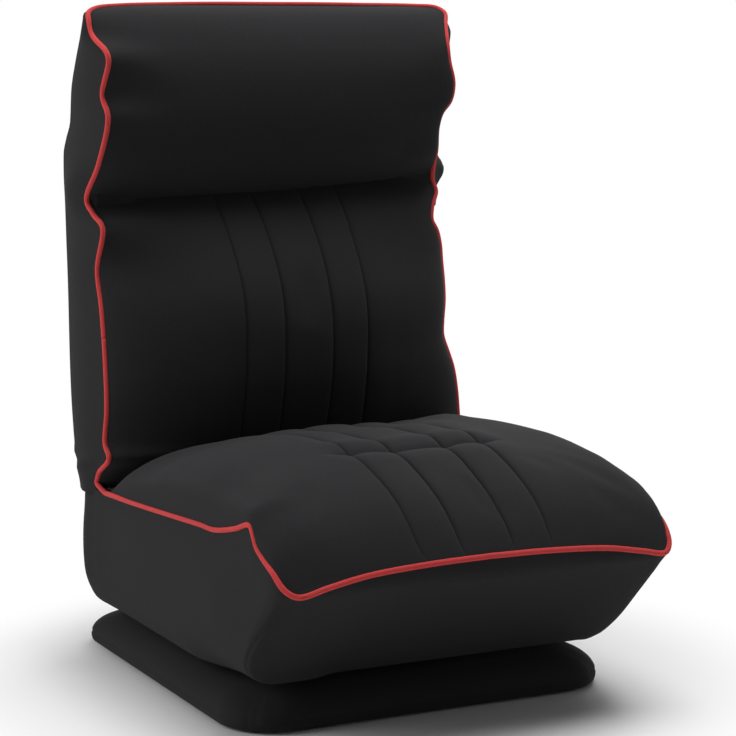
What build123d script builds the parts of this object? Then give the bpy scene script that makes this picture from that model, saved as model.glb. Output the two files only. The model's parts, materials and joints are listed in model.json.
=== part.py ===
from build123d import *
import math
import os

# A legless swivel floor chair in millimetres, +Z up, its front towards -Y.
# The seat turns on a low base, the back reclines and the headrest tilts forward, both by ratchets.

# Fits
FIT = 0.3
RUNNING_FIT = 0.05

# Base
BASE_WIDTH = 478
BASE_DEPTH = 494
BASE_HEIGHT = 42
BASE_CORNER = 62
BASE_EDGE = 18
BASE_COVER_WALL = 3
BASE_HEM = 2
SWIVEL_Y = 45
FOOT_HEIGHT = 5
FOOT_SADDLE = 3
FOOT_PITCH = 150
CLOTH = 1.2

# Tubes and straps
BASE_TUBE_R = 11
SEAT_TUBE_R = 11
BACK_TUBE_R = 10
CROSS_TUBE_R = 8
TUBE_WALL = 1.5
TUBE_BEND = 50
VENT_R = 3
STRAP = 3
STRAP_WIDTH = 38
STRAP_OFFSET = 54
STRAP_FLAT = 105
STRAP_CRANK = 14

# Swivel bearing
PLATE_R = 88
PLATE = 2.5
RACE_R = 54
RACE_BEAD = 8
RACE_GAP = 1.4
RACE_FLOOR = 1.7
BALL_R = 3.5
BALL_COUNT = 16
CAGE = 0.6
CAGE_RIM = 5
RIVET_R = 9
RIVET_BORE = 6
RIVET_FLANGE = 13
RIVET_FLANGE_THICKNESS = 1.5
SCREW_R = 2.5
SCREW_HEAD_R = 4.5
SCREW_HEAD = 2.2
SCREW_X = 52
PLATE_OPENING_GAP = 4

# Seat
SEAT_GAP = 12
SEAT_WIDTH = 504
SEAT_FRONT = -326
SEAT_REAR = 297
SEAT_BOX = 157
SEAT_EDGE = 44
SEAT_CORNER = 42
SEAT_UNDERCUT = 112
SEAT_WALL = 3
SEAT_OPENING_R = 146
RIM_RISE = 18
RIM_BREAK_Y = -150
RIM_PEAK_Y = -250
RIM_PEAK = 40
RIM_CORNER_DROP = 22
RIM_BREAK_BEND = 160
RIM_PEAK_BEND = 22
SEAT_CUSHION_REAR = 150
TUCK_Y = -45
SEAT_FRAME_FRONT = -112
SEAT_FRAME_REAR = 246

# Back, measured along it from the recline axis
LEAN = 4.5
HIP_Y = 267
BARREL_R = 29
BACK_WIDTH = 504
BACK_WALL = 3
BACK_CORNER = 22
RIM_OUT = 66
FRAME_OUT = 24
CUSHION_BASE_OUT = 40
NECK_OUT = 30
NECK_UP = 327
NECK_R = 17
NOTCH_LOW = 20
NOTCH_HIGH = 12
PIPING_R = 3
COVER_REACH = 60
SLIT_TOP = 20
BACK_TUBE_LOW = 38
CROSS_LOW = 66

# Upper back and headrest, measured along the back from the neck axis
BACK_TUBE_HIGH = -37
CROSS_HIGH = -57
REAR_PAD_TOP = -35
HEAD_TUBE_TOP = 119
HEAD_TUBE_BEND = 42
HEAD_SHOULDER = 61
HEAD_STEP_UP = 93
HEAD_STEP = 27
HEAD_TAPER_UP = 143
HEAD_TAPER = 42
HEAD_TOP = 229
HEAD_TOP_OUT = 68
HEAD_TOP_FLAT = 16
HEAD_RIM_LOW = 91
HEAD_RIM_HIGH = 182
HEAD_RIM_OUT = 130
HEAD_BEND = 16
HEAD_PIPING_LOW = 20
HEAD_PIPING_BEND = 22
HEAD_PUFF = 11

# Cushion channels
SEAM_OUTER = 83
SEAM_INNER = 33
CHANNEL_PUFF = 7

# Webbing
WEB = 1.6
SEAT_WEB_WIDTH = 46
SEAT_WEB_PITCH = 62
SEAT_WEB_COUNT = 4
BACK_WEB_WIDTH = 42
BACK_WEB_PITCH = 56
BACK_WEB_MIDDLE = 168

# Ratchets
HINGE_INSET = 23
ARM = 5
CHEEK = 3
CHEEK_R = 23.5
HINGE_PIN_R = 5
PAWL_PIN_R = 3
PIN_HEAD = 2
PIN_HEAD_RIM = 3
TOOTH_TIP_R = 21
TOOTH_DEPTH = 1.8
CLICK = 6
RECLINE_CLICKS = 14
NECK_CLICKS = 5
PAWL_REACH = 25
PAWL_DROP = 25
PAWL_BAR = 5.8
PAWL_CLEARANCE = 0.4
PAWL_BOSS_R = 6
SPRING = 0.8
SPRING_PIN_DROP = 46
SPRING_PIN_REACH = 32
ARM_END_R = 9
RECLINE_FOOT_RISE = 8
RECLINE_FEET_FRONT = 84
RECLINE_FEET_REAR = 38
RECLINE_ARM_LOW = 46
RECLINE_ARM_HIGH = 92
NECK_FOOT_NEAR = 52
NECK_FOOT_FAR = 76
NECK_ARM_NEAR = 42
NECK_ARM_FAR = 82
POCKET_R = 28

# Heights that follow from the sizes above
ring_z = FOOT_HEIGHT + BASE_TUBE_R
low_plate_z = BASE_HEIGHT - BASE_COVER_WALL - FIT
groove_r = BALL_R + FIT
ball_z = low_plate_z + RACE_FLOOR + groove_r
high_plate_top = ball_z + groove_r + RACE_FLOOR
seat_bottom = BASE_HEIGHT + SEAT_GAP
seat_strap_end = seat_bottom + SEAT_WALL + FIT
seat_frame_z = seat_strap_end + STRAP + SEAT_TUBE_R
rim_rear = seat_bottom + SEAT_BOX
hip_z = rim_rear + BARREL_R + SEAT_WALL
cheek_inner = ARM / 2 + FIT
cheek_outer = cheek_inner + CHEEK
seat_half = SEAT_WIDTH / 2
back_half = BACK_WIDTH / 2
hinge_x = min(seat_half, back_half) - HINGE_INSET
seat_tube_x = hinge_x - cheek_outer - SEAT_TUBE_R
head_tube_x = hinge_x - cheek_outer - BACK_TUBE_R
back_tube_x = hinge_x - ARM / 2 - BACK_TUBE_R
pocket_x = hinge_x - cheek_outer - PIN_HEAD - FIT
slit_x = hinge_x + cheek_outer + PIN_HEAD + FIT
rear_pad_half = pocket_x - FIT
back_tube_high = NECK_UP + BACK_TUBE_HIGH
cross_high = NECK_UP + CROSS_HIGH
rear_pad_top = NECK_UP + REAR_PAD_TOP
head_tube_top = NECK_UP + HEAD_TUBE_TOP
head_shoulder = NECK_UP + HEAD_SHOULDER
head_step_up = NECK_UP + HEAD_STEP_UP
head_taper_up = NECK_UP + HEAD_TAPER_UP
head_top = NECK_UP + HEAD_TOP
head_rim_low = NECK_UP + HEAD_RIM_LOW
head_rim_high = NECK_UP + HEAD_RIM_HIGH

lean_sin = math.sin(math.radians(LEAN))
lean_cos = math.cos(math.radians(LEAN))


def lean_point(rear, up):
    """Offset from the recline axis, in (Y, Z), of a point given along the leaning back."""
    return (rear * lean_cos + up * lean_sin, -rear * lean_sin + up * lean_cos)


def back_plane(up):
    """Section plane across the back: X to the right, sketch Y towards the front of the back."""
    y, z = lean_point(0, up)
    return Plane((0, HIP_Y + y, hip_z + z), x_dir=(1, 0, 0), z_dir=(0, -lean_sin, -lean_cos))


# Side view of the back: sketch X to the rear, sketch Y up along the back.
back_side = Plane((0, HIP_Y, hip_z), x_dir=(0, lean_cos, -lean_sin), z_dir=(1, 0, 0))
neck_y, neck_z = lean_point(-NECK_OUT, NECK_UP)
neck_axis = (0, HIP_Y + neck_y, hip_z + neck_z)

os.makedirs("parts", exist_ok=True)


def save(part, name):
    """Label a finished piece and write it."""
    part.label = name
    export_step(part, f"parts/{name}.step")


# Tubes, straps and screws
def tube_loop(half_width, front, rear, height, radius):
    """Closed tube bent round a rectangle, with a vent hole under its rear run."""
    with BuildPart() as loop:
        with BuildLine(Plane.XY.offset(height)) as path:
            FilletPolyline(
                (0, front),
                (half_width, front),
                (half_width, rear),
                (-half_width, rear),
                (-half_width, front),
                (0, front),
                radius=[0, TUBE_BEND, TUBE_BEND, TUBE_BEND, TUBE_BEND],
            )
        with BuildSketch(Plane(path.line @ 0, z_dir=path.line % 0)):
            Circle(radius)
            Circle(radius - TUBE_WALL, mode=Mode.SUBTRACT)
        sweep()
        with Locations((0, rear, height - radius)):
            Cylinder(VENT_R, 2 * radius, mode=Mode.SUBTRACT)
    return loop.part


def strap_pair(reach, middle_z, end_z, hole_r):
    """Two cranked flat straps that carry a swivel plate between the side tubes."""
    with BuildPart() as straps:
        for side in (-1, 1):
            middle_y = SWIVEL_Y + side * STRAP_OFFSET
            with BuildSketch(Plane.XZ.offset(STRAP_WIDTH / 2 - middle_y)):
                with BuildLine():
                    Polyline(
                        (0, middle_z),
                        (STRAP_FLAT, middle_z),
                        (STRAP_FLAT + STRAP_CRANK, end_z),
                        (reach, end_z),
                        (reach, end_z + STRAP),
                        (STRAP_FLAT + STRAP_CRANK, end_z + STRAP),
                        (STRAP_FLAT, middle_z + STRAP),
                        (0, middle_z + STRAP),
                    )
                    mirror(about=Plane.YZ)
                make_face()
            extrude(amount=-STRAP_WIDTH)
        with Locations((0, SWIVEL_Y, middle_z + STRAP / 2)):
            with GridLocations(2 * SCREW_X, 2 * STRAP_OFFSET, 2, 2):
                Cylinder(hole_r, 2 * STRAP, mode=Mode.SUBTRACT)
    return straps.part


def plate_screws(face_z, direction):
    """Four screws through a swivel plate and its straps, heads on the plate's open face."""
    with BuildPart() as screws:
        with BuildSketch(Plane.XY.offset(face_z)):
            with Locations((0, SWIVEL_Y)):
                with GridLocations(2 * SCREW_X, 2 * STRAP_OFFSET, 2, 2):
                    Circle(SCREW_HEAD_R)
        extrude(amount=direction * SCREW_HEAD)
        with BuildSketch(Plane.XY.offset(face_z)):
            with Locations((0, SWIVEL_Y)):
                with GridLocations(2 * SCREW_X, 2 * STRAP_OFFSET, 2, 2):
                    Circle(SCREW_R)
        extrude(amount=-direction * (PLATE + 2 * STRAP))
    return screws.part


# Base
base_ring_x = BASE_WIDTH / 2 - BASE_COVER_WALL - BASE_TUBE_R - FIT
base_ring_depth = BASE_DEPTH / 2 - BASE_COVER_WALL - BASE_TUBE_R - FIT
save(
    tube_loop(base_ring_x, SWIVEL_Y - base_ring_depth, SWIVEL_Y + base_ring_depth, ring_z, BASE_TUBE_R),
    "base_ring",
)
save(
    strap_pair(base_ring_x + BASE_TUBE_R / 2, low_plate_z - STRAP, ring_z + BASE_TUBE_R, SCREW_R),
    "base_cross_rails",
)


def base_block(inset, top):
    """Rounded block of the base, drawn in by an inset."""
    with BuildPart() as block:
        with BuildSketch(Plane.XY.offset(BASE_HEM)):
            with Locations((0, SWIVEL_Y)):
                RectangleRounded(BASE_WIDTH - 2 * inset, BASE_DEPTH - 2 * inset, BASE_CORNER - inset)
        extrude(amount=top - BASE_HEM)
        fillet(block.faces().sort_by(Axis.Z)[-1].edges(), radius=BASE_EDGE - inset)
    return block.part


with BuildPart() as base_cover:
    add(base_block(0, BASE_HEIGHT))
    add(base_block(BASE_COVER_WALL, BASE_HEIGHT - BASE_COVER_WALL), mode=Mode.SUBTRACT)
    with Locations((0, SWIVEL_Y, BASE_HEIGHT)):
        Cylinder(PLATE_R + PLATE_OPENING_GAP, BASE_HEIGHT, mode=Mode.SUBTRACT)
save(base_cover.part, "base_cover")

with BuildPart() as base_bottom_cloth:
    with BuildSketch(Plane.XY.offset(FOOT_HEIGHT - CLOTH - FIT)):
        with Locations((0, SWIVEL_Y)):
            cloth_inset = BASE_COVER_WALL + FIT
            RectangleRounded(
                BASE_WIDTH - 2 * cloth_inset, BASE_DEPTH - 2 * cloth_inset, BASE_CORNER - cloth_inset
            )
            with GridLocations(2 * base_ring_x, FOOT_PITCH, 2, 3):
                Circle(BASE_TUBE_R + FIT / 2, mode=Mode.SUBTRACT)
    extrude(amount=CLOTH)
save(base_bottom_cloth.part, "base_bottom_cloth")

with BuildPart() as base_feet:
    with BuildSketch():
        with Locations((0, SWIVEL_Y)):
            with GridLocations(2 * base_ring_x, FOOT_PITCH, 2, 3):
                Circle(BASE_TUBE_R)
    extrude(amount=FOOT_HEIGHT + FOOT_SADDLE)
    with BuildSketch(Plane.XZ):
        with Locations((-base_ring_x, ring_z), (base_ring_x, ring_z)):
            Circle(BASE_TUBE_R + RUNNING_FIT)
    extrude(amount=BASE_DEPTH, both=True, mode=Mode.SUBTRACT)
save(base_feet.part, "base_feet")


# Swivel bearing
def swivel_plate(flip, centre_hole):
    """Round pressed plate with a raised ball race, screw holes and a centre hole."""
    back = ball_z - flip * (groove_r + RACE_FLOOR)
    face = back + flip * PLATE
    bead = ball_z - flip * RACE_GAP / 2
    with BuildPart() as plate:
        with BuildSketch(Plane((0, SWIVEL_Y, 0), x_dir=(1, 0, 0), z_dir=(0, -1, 0))):
            with BuildLine():
                Polyline(
                    (centre_hole, back),
                    (PLATE_R, back),
                    (PLATE_R, face),
                    (RACE_R + RACE_BEAD, face),
                    (RACE_R + RACE_BEAD, bead),
                    (RACE_R - RACE_BEAD, bead),
                    (RACE_R - RACE_BEAD, face),
                    (centre_hole, face),
                    close=True,
                )
            make_face()
            with Locations((RACE_R, ball_z)):
                Circle(groove_r, mode=Mode.SUBTRACT)
        revolve(axis=Axis((0, SWIVEL_Y, 0), (0, 0, 1)))
        with Locations((0, SWIVEL_Y, back)):
            with GridLocations(2 * SCREW_X, 2 * STRAP_OFFSET, 2, 2):
                Cylinder(SCREW_R, 4 * PLATE, mode=Mode.SUBTRACT)
    return plate.part


save(swivel_plate(1, RIVET_R), "swivel_lower_plate")
save(swivel_plate(-1, RIVET_R + RUNNING_FIT), "swivel_upper_plate")
save(plate_screws(low_plate_z + PLATE, 1), "swivel_lower_screws")
save(plate_screws(high_plate_top - PLATE, -1), "swivel_upper_screws")

with BuildPart() as swivel_rivet:
    with BuildSketch(Plane((0, SWIVEL_Y, 0), x_dir=(1, 0, 0), z_dir=(0, -1, 0))):
        with BuildLine():
            Polyline(
                (RIVET_BORE, low_plate_z - RIVET_FLANGE_THICKNESS),
                (RIVET_FLANGE, low_plate_z - RIVET_FLANGE_THICKNESS),
                (RIVET_FLANGE, low_plate_z),
                (RIVET_R, low_plate_z),
                (RIVET_R, high_plate_top + FIT),
                (RIVET_FLANGE, high_plate_top + FIT),
                (RIVET_FLANGE, high_plate_top + FIT + RIVET_FLANGE_THICKNESS),
                (RIVET_BORE, high_plate_top + FIT + RIVET_FLANGE_THICKNESS),
                close=True,
            )
        make_face()
    revolve(axis=Axis((0, SWIVEL_Y, 0), (0, 0, 1)))
save(swivel_rivet.part, "swivel_rivet")

with BuildPart() as swivel_balls:
    with Locations((0, SWIVEL_Y, ball_z)):
        with PolarLocations(RACE_R, BALL_COUNT):
            Sphere(BALL_R)
save(swivel_balls.part, "swivel_balls")

with BuildPart() as swivel_cage:
    with BuildSketch(Plane.XY.offset(ball_z - CAGE / 2)):
        with Locations((0, SWIVEL_Y)):
            Circle(RACE_R + CAGE_RIM)
            Circle(RACE_R - CAGE_RIM, mode=Mode.SUBTRACT)
            with PolarLocations(RACE_R, BALL_COUNT):
                Circle(BALL_R + FIT, mode=Mode.SUBTRACT)
    extrude(amount=CAGE)
save(swivel_cage.part, "swivel_cage")

# Seat frame
save(
    tube_loop(seat_tube_x, SEAT_FRAME_FRONT, SEAT_FRAME_REAR, seat_frame_z, SEAT_TUBE_R),
    "seat_frame",
)
save(
    strap_pair(seat_tube_x + SEAT_TUBE_R / 2, high_plate_top, seat_strap_end, SCREW_R),
    "seat_cross_rails",
)

with BuildPart() as seat_webbing:
    for belt in range(SEAT_WEB_COUNT):
        belt_y = SWIVEL_Y + (belt - (SEAT_WEB_COUNT - 1) / 2) * SEAT_WEB_PITCH
        with BuildSketch(Plane.XZ.offset(-belt_y + SEAT_WEB_WIDTH / 2)):
            with Locations((0, seat_frame_z)):
                SlotCenterToCenter(2 * seat_tube_x, 2 * (SEAT_TUBE_R + FIT + WEB))
                SlotCenterToCenter(2 * seat_tube_x, 2 * (SEAT_TUBE_R + FIT), mode=Mode.SUBTRACT)
        extrude(amount=-SEAT_WEB_WIDTH)
    # The belts pass inside the cross rails, which are welded under the tubes.
    for side in (-1, 1):
        with Locations((0, SWIVEL_Y + side * STRAP_OFFSET, seat_strap_end)):
            Box(
                SEAT_WIDTH,
                STRAP_WIDTH + 2 * FIT,
                2 * STRAP + SEAT_TUBE_R,
                align=(Align.CENTER, Align.CENTER, Align.CENTER),
                mode=Mode.SUBTRACT,
            )
save(seat_webbing.part, "seat_webbing")


# Seat box: the boxing's outer form, drawn in by an inset
def seat_level(height, inset):
    """Plan outline of the seat box at a height above the seat's bottom."""
    curl = max(0.0, 1 - height / SEAT_EDGE)
    draw_in = SEAT_EDGE * (1 - math.sqrt(1 - curl**2)) + inset
    undercut = SEAT_UNDERCUT * max(0.0, 1 - height / (SEAT_BOX - RIM_CORNER_DROP))
    front = SEAT_FRONT + undercut + draw_in
    rear = SEAT_REAR - draw_in
    half = seat_half - draw_in
    with BuildSketch(Plane.XY.offset(seat_bottom + height)) as level:
        with Locations((0, (front + rear) / 2)):
            RectangleRounded(2 * half, rear - front, SEAT_CORNER)
    return level.sketch


def seat_box(inset):
    """Outline sketches of the seat box from its bottom to above its rim."""
    straight = SEAT_BOX - RIM_CORNER_DROP
    curl = [inset + share * (SEAT_EDGE - inset) for share in (0, 0.08, 0.25, 0.55, 1)]
    return [seat_level(height, inset) for height in curl + [straight, SEAT_BOX + 2 * RIM_PEAK]]


def rim_side(lift, low):
    """Side view of everything under the seat's rim, from a low line up to the lifted rim."""
    far = 2 * SEAT_REAR
    with BuildSketch(Plane.YZ) as side:
        with BuildLine():
            FilletPolyline(
                (far, low),
                (far, rim_rear + lift),
                (SEAT_CUSHION_REAR, rim_rear + lift),
                (RIM_BREAK_Y, rim_rear + RIM_RISE + lift),
                (RIM_PEAK_Y, rim_rear + RIM_PEAK + lift),
                (SEAT_FRONT, rim_rear - RIM_CORNER_DROP + lift),
                (-far, rim_rear - RIM_CORNER_DROP + lift),
                (-far, low),
                radius=[0, 0, 0, RIM_BREAK_BEND, RIM_PEAK_BEND, 0, 0, 0],
                close=True,
            )
        make_face()
    return side.sketch


def cord(line, radius):
    """Round cord swept along a line of straight runs and arcs."""
    with BuildPart() as swept:
        with BuildSketch(Plane(line @ 0, z_dir=line % 0)) as end:
            Circle(radius)
        sweep(sections=end.sketch, path=line)
    return swept.part


rear_lift = PIPING_R + FIT
front_slope = math.atan2(RIM_PEAK + RIM_CORNER_DROP, RIM_PEAK_Y - SEAT_FRONT)
front_lift = rear_lift / math.cos(front_slope)
piping_side = [
    (SEAT_CUSHION_REAR, rim_rear + rear_lift),
    (RIM_BREAK_Y, rim_rear + RIM_RISE + rear_lift),
    (RIM_PEAK_Y, rim_rear + RIM_PEAK + front_lift),
    (SEAT_FRONT, rim_rear - RIM_CORNER_DROP + front_lift),
]
with BuildLine() as piping_path:
    FilletPolyline(
        *[(-seat_half, y, z) for y, z in piping_side],
        *[(seat_half, y, z) for y, z in reversed(piping_side)],
        radius=[
            RIM_BREAK_BEND,
            RIM_PEAK_BEND,
            SEAT_CORNER,
            SEAT_CORNER,
            RIM_PEAK_BEND,
            RIM_BREAK_BEND,
        ],
    )
seat_piping = cord(piping_path.line, PIPING_R)
seat_piping_groove = cord(piping_path.line, PIPING_R + RUNNING_FIT)
save(seat_piping, "seat_piping")

with BuildPart() as seat_cover:
    loft(sections=seat_box(0), ruled=True)
    loft(sections=seat_box(SEAT_WALL), ruled=True, mode=Mode.SUBTRACT)
    extrude(rim_side(0, 0), amount=seat_half, both=True, mode=Mode.INTERSECT)
    with Locations((0, SWIVEL_Y, seat_bottom)):
        Cylinder(SEAT_OPENING_R, 3 * SEAT_WALL, mode=Mode.SUBTRACT)
save(seat_cover.part, "seat_cover")

with BuildPart() as seat_foam:
    foam_bottom = seat_frame_z + SEAT_TUBE_R + FIT + WEB
    loft(sections=seat_box(SEAT_WALL), ruled=True)
    extrude(rim_side(0, foam_bottom), amount=seat_half, both=True, mode=Mode.INTERSECT)
    for side in (-1, 1):
        with Locations((side * (hinge_x + seat_half) / 2, SEAT_REAR, seat_bottom + SEAT_BOX / 2)):
            Box(
                seat_half - hinge_x + 2 * (cheek_outer + PIN_HEAD + FIT),
                2 * (SEAT_REAR - SEAT_CUSHION_REAR),
                2 * SEAT_BOX,
                mode=Mode.SUBTRACT,
            )
save(seat_foam.part, "seat_foam")


# Crowned cushions with sewn channels
def cushion_section(plane, half_width, base, rim, crown, shoulder):
    """Cross-section: flat base, short sides, and a crown of five puffed panels between four seams."""
    seam_inner = crown - CHANNEL_PUFF / 2
    seam_outer = crown - CHANNEL_PUFF
    with BuildSketch(plane) as section:
        with BuildLine():
            Line((-half_width, base), (half_width, base))
            Line((half_width, base), (half_width, rim))
            SagittaArc((half_width, rim), (SEAM_OUTER, seam_outer), -shoulder)
            SagittaArc((SEAM_OUTER, seam_outer), (SEAM_INNER, seam_inner), -CHANNEL_PUFF)
            SagittaArc((SEAM_INNER, seam_inner), (-SEAM_INNER, seam_inner), -CHANNEL_PUFF)
            SagittaArc((-SEAM_INNER, seam_inner), (-SEAM_OUTER, seam_outer), -CHANNEL_PUFF)
            SagittaArc((-SEAM_OUTER, seam_outer), (-half_width, rim), -shoulder)
            Line((-half_width, rim), (-half_width, base))
        make_face()
    return section.sketch


def rim_height(y):
    """Height of the seat's rim above its rear end, at a depth."""
    line = [
        (SEAT_FRONT, -RIM_CORNER_DROP),
        (RIM_PEAK_Y, RIM_PEAK),
        (RIM_BREAK_Y, RIM_RISE),
        (SEAT_CUSHION_REAR, 0),
    ]
    for (front, low), (rear, high) in zip(line, line[1:]):
        if y <= rear:
            return low + (high - low) * (y - front) / (rear - front)
    return 0


def seat_section(y, draw_in, flank, rise, shoulder):
    """Seat cushion section at a depth: upright flanks above the rim, and a crown above the rear rim."""
    return cushion_section(
        Plane((0, y, 0), x_dir=(1, 0, 0), z_dir=(0, -1, 0)),
        seat_half - SEAT_WALL - draw_in,
        rim_rear - 3 * RIM_CORNER_DROP,
        rim_rear + rim_height(y) + flank,
        rim_rear + rise,
        shoulder,
    )


# Depth, draw-in of the sides, upright flank, crown height and shoulder of the seat cushion, rear to front.
# The sharp dip in the crown is the tuck sewn across the seat.
SEAT_CROWN = [
    (SEAT_CUSHION_REAR - 2, 6, 4, 42, 20),
    (SEAT_CUSHION_REAR - 34, 2, 10, 60, 26),
    (SEAT_CUSHION_REAR - 82, 0, 14, 68, 28),
    (TUCK_Y + 60, 0, 14, 72, 28),
    (TUCK_Y + 22, 0, 14, 72, 28),
    (TUCK_Y, 0, 14, 66, 30),
    (TUCK_Y - 22, 0, 14, 72, 28),
    (TUCK_Y - 60, 0, 14, 73, 28),
    (RIM_BREAK_Y - 12, 0, 12, 68, 26),
    (RIM_PEAK_Y + 15, 1, 4, 53, 14),
    (RIM_PEAK_Y - 35, 1, 0, 28, 6),
    (SEAT_FRONT + 16, 8, 0, 6, 4),
    (SEAT_FRONT + 4, 24, 0, -8, 3),
]

with BuildPart() as seat_cushion:
    loft(sections=[seat_section(*row) for row in SEAT_CROWN])
    extrude(rim_side(FIT, 0), amount=seat_half, both=True, mode=Mode.SUBTRACT)
    add(seat_piping_groove, mode=Mode.SUBTRACT)
save(seat_cushion.part, "seat_cushion")


# Ratchets, drawn round their hinge axis with the pawl below the toothed hub
def ratchet_bracket(plane, feet):
    """Folded bracket: two cheeks joined by a web along the tube that carries it."""
    pawl_pivot = (-PAWL_REACH, -PAWL_DROP)
    spring_pivot = (-SPRING_PIN_REACH, -SPRING_PIN_DROP)
    with BuildPart() as bracket:
        for near in (-cheek_outer, cheek_inner):
            with BuildSketch(plane.offset(near)):
                with BuildLine():
                    CenterArc((0, 0), CHEEK_R, 0, 360)
                    CenterArc(pawl_pivot, 2 * PAWL_BOSS_R, 0, 360)
                    CenterArc(spring_pivot, 2 * PAWL_PIN_R, 0, 360)
                    for foot in feet:
                        CenterArc(foot, ARM_END_R, 0, 360)
                make_hull()
                Circle(HINGE_PIN_R, mode=Mode.SUBTRACT)
                with Locations(pawl_pivot, spring_pivot):
                    Circle(PAWL_PIN_R, mode=Mode.SUBTRACT)
            extrude(amount=CHEEK, dir=plane.z_dir)
        with BuildSketch(plane.offset(-cheek_inner - CHEEK / 2)):
            with BuildLine():
                for foot in feet:
                    CenterArc(foot, ARM_END_R - CHEEK, 0, 360)
            make_hull()
        extrude(amount=2 * cheek_inner + CHEEK, dir=plane.z_dir)
    return bracket.part


def ratchet_arm(plane, ends, clicks):
    """Arm with a hub whose teeth pass over the pawl, one gap for each click."""
    root = TOOTH_TIP_R - TOOTH_DEPTH
    outline = [(0, 0)]
    for half_step in range(-1, 2 * clicks + 2):
        angle = math.radians(-90 + half_step * CLICK / 2)
        radius = TOOTH_TIP_R if half_step % 2 else root
        outline.append((radius * math.cos(angle), radius * math.sin(angle)))
    with BuildPart() as arm:
        with BuildSketch(plane.offset(-ARM / 2)):
            with BuildLine():
                CenterArc((0, 0), ARM_END_R, 0, 360)
                for end in ends:
                    CenterArc(end, ARM_END_R, 0, 360)
            make_hull()
            with BuildLine():
                Polyline(*outline, close=True)
            make_face()
            Circle(root - RUNNING_FIT)
            Circle(HINGE_PIN_R + RUNNING_FIT, mode=Mode.SUBTRACT)
        extrude(amount=ARM, dir=plane.z_dir)
    return arm.part


def ratchet_pawl(plane):
    """Pawl at rest, lifted clear of the teeth: a boss, a bar and a nose shaped like a tooth gap."""
    nose_half = TOOTH_TIP_R * math.radians(CLICK / 2)
    tip = -(TOOTH_TIP_R + PAWL_CLEARANCE)
    bar_top = tip - TOOTH_DEPTH
    with BuildPart() as pawl:
        with BuildSketch(plane.offset(-ARM / 2)):
            with Locations((-PAWL_REACH, -PAWL_DROP)):
                Circle(PAWL_BOSS_R)
            with BuildLine():
                Polyline(
                    (-PAWL_REACH, bar_top),
                    (-nose_half, bar_top),
                    (0, tip),
                    (nose_half, bar_top),
                    (2 * nose_half, bar_top),
                    (2 * nose_half, bar_top - PAWL_BAR / 2),
                    (-PAWL_REACH, bar_top - PAWL_BAR),
                    close=True,
                )
            make_face()
            with Locations((-PAWL_REACH, -PAWL_DROP)):
                Circle(PAWL_PIN_R + RUNNING_FIT, mode=Mode.SUBTRACT)
        extrude(amount=ARM)
    return pawl.part


def ratchet_pins(plane):
    """Hinge pin, pawl pin and spring pin, riveted over both cheeks."""
    places = [
        ((0, 0), HINGE_PIN_R),
        ((-PAWL_REACH, -PAWL_DROP), PAWL_PIN_R),
        ((-SPRING_PIN_REACH, -SPRING_PIN_DROP), PAWL_PIN_R),
    ]
    with BuildPart() as pins:
        for place, radius in places:
            with BuildSketch(plane.offset(-cheek_outer)):
                with Locations(place):
                    Circle(radius)
            extrude(amount=2 * cheek_outer)
            for end in (-cheek_outer - PIN_HEAD, cheek_outer):
                with BuildSketch(plane.offset(end)):
                    with Locations(place):
                        Circle(radius + PIN_HEAD_RIM)
                extrude(amount=PIN_HEAD)
    return pins.part


def ratchet_spring(plane):
    """Leaf spring: an eye round its pin and a leaf that lies under the pawl's bar."""
    eye = PAWL_PIN_R + RUNNING_FIT
    bar_bottom = -(TOOTH_TIP_R + PAWL_CLEARANCE + TOOTH_DEPTH + PAWL_BAR)
    tip_x = -PAWL_REACH / 5
    tip_y = bar_bottom + PAWL_BAR / 2 * (tip_x + PAWL_REACH) / PAWL_REACH - 2 * FIT
    with BuildPart() as spring:
        with BuildSketch(plane.offset(-ARM / 2)):
            with Locations((-SPRING_PIN_REACH, -SPRING_PIN_DROP)):
                Circle(eye + SPRING)
            with BuildLine():
                Polyline(
                    (-SPRING_PIN_REACH, -SPRING_PIN_DROP - eye - SPRING),
                    (tip_x, tip_y - SPRING),
                    (tip_x, tip_y),
                    (-SPRING_PIN_REACH, -SPRING_PIN_DROP - eye),
                    close=True,
                )
            make_face()
            with Locations((-SPRING_PIN_REACH, -SPRING_PIN_DROP)):
                Circle(eye, mode=Mode.SUBTRACT)
        extrude(amount=ARM)
    return spring.part


def save_ratchets(name, centre, x_dir, feet, ends, clicks):
    """Both sides of one ratchet: left and right pieces, with pins and springs as groups."""
    planes = {
        side: Plane((sign * hinge_x, centre[1], centre[2]), x_dir=x_dir, z_dir=(1, 0, 0))
        for side, sign in (("left", -1), ("right", 1))
    }
    for side, plane in planes.items():
        save(ratchet_bracket(plane, feet), f"{name}_bracket_{side}")
        save(ratchet_arm(plane, ends, clicks), f"{name}_arm_{side}")
        save(ratchet_pawl(plane), f"{name}_pawl_{side}")
    with BuildPart() as pins:
        for plane in planes.values():
            add(ratchet_pins(plane))
    save(pins.part, f"{name}_pins")
    with BuildPart() as springs:
        for plane in planes.values():
            add(ratchet_spring(plane))
    save(springs.part, f"{name}_springs")


foot_drop = seat_frame_z + RECLINE_FOOT_RISE - hip_z

save_ratchets(
    "recline",
    (0, HIP_Y, hip_z),
    (0, 1, 0),
    [(-RECLINE_FEET_FRONT, foot_drop), (-RECLINE_FEET_REAR, foot_drop)],
    [lean_point(-FRAME_OUT, RECLINE_ARM_LOW), lean_point(-FRAME_OUT, RECLINE_ARM_HIGH)],
    RECLINE_CLICKS,
)
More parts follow.
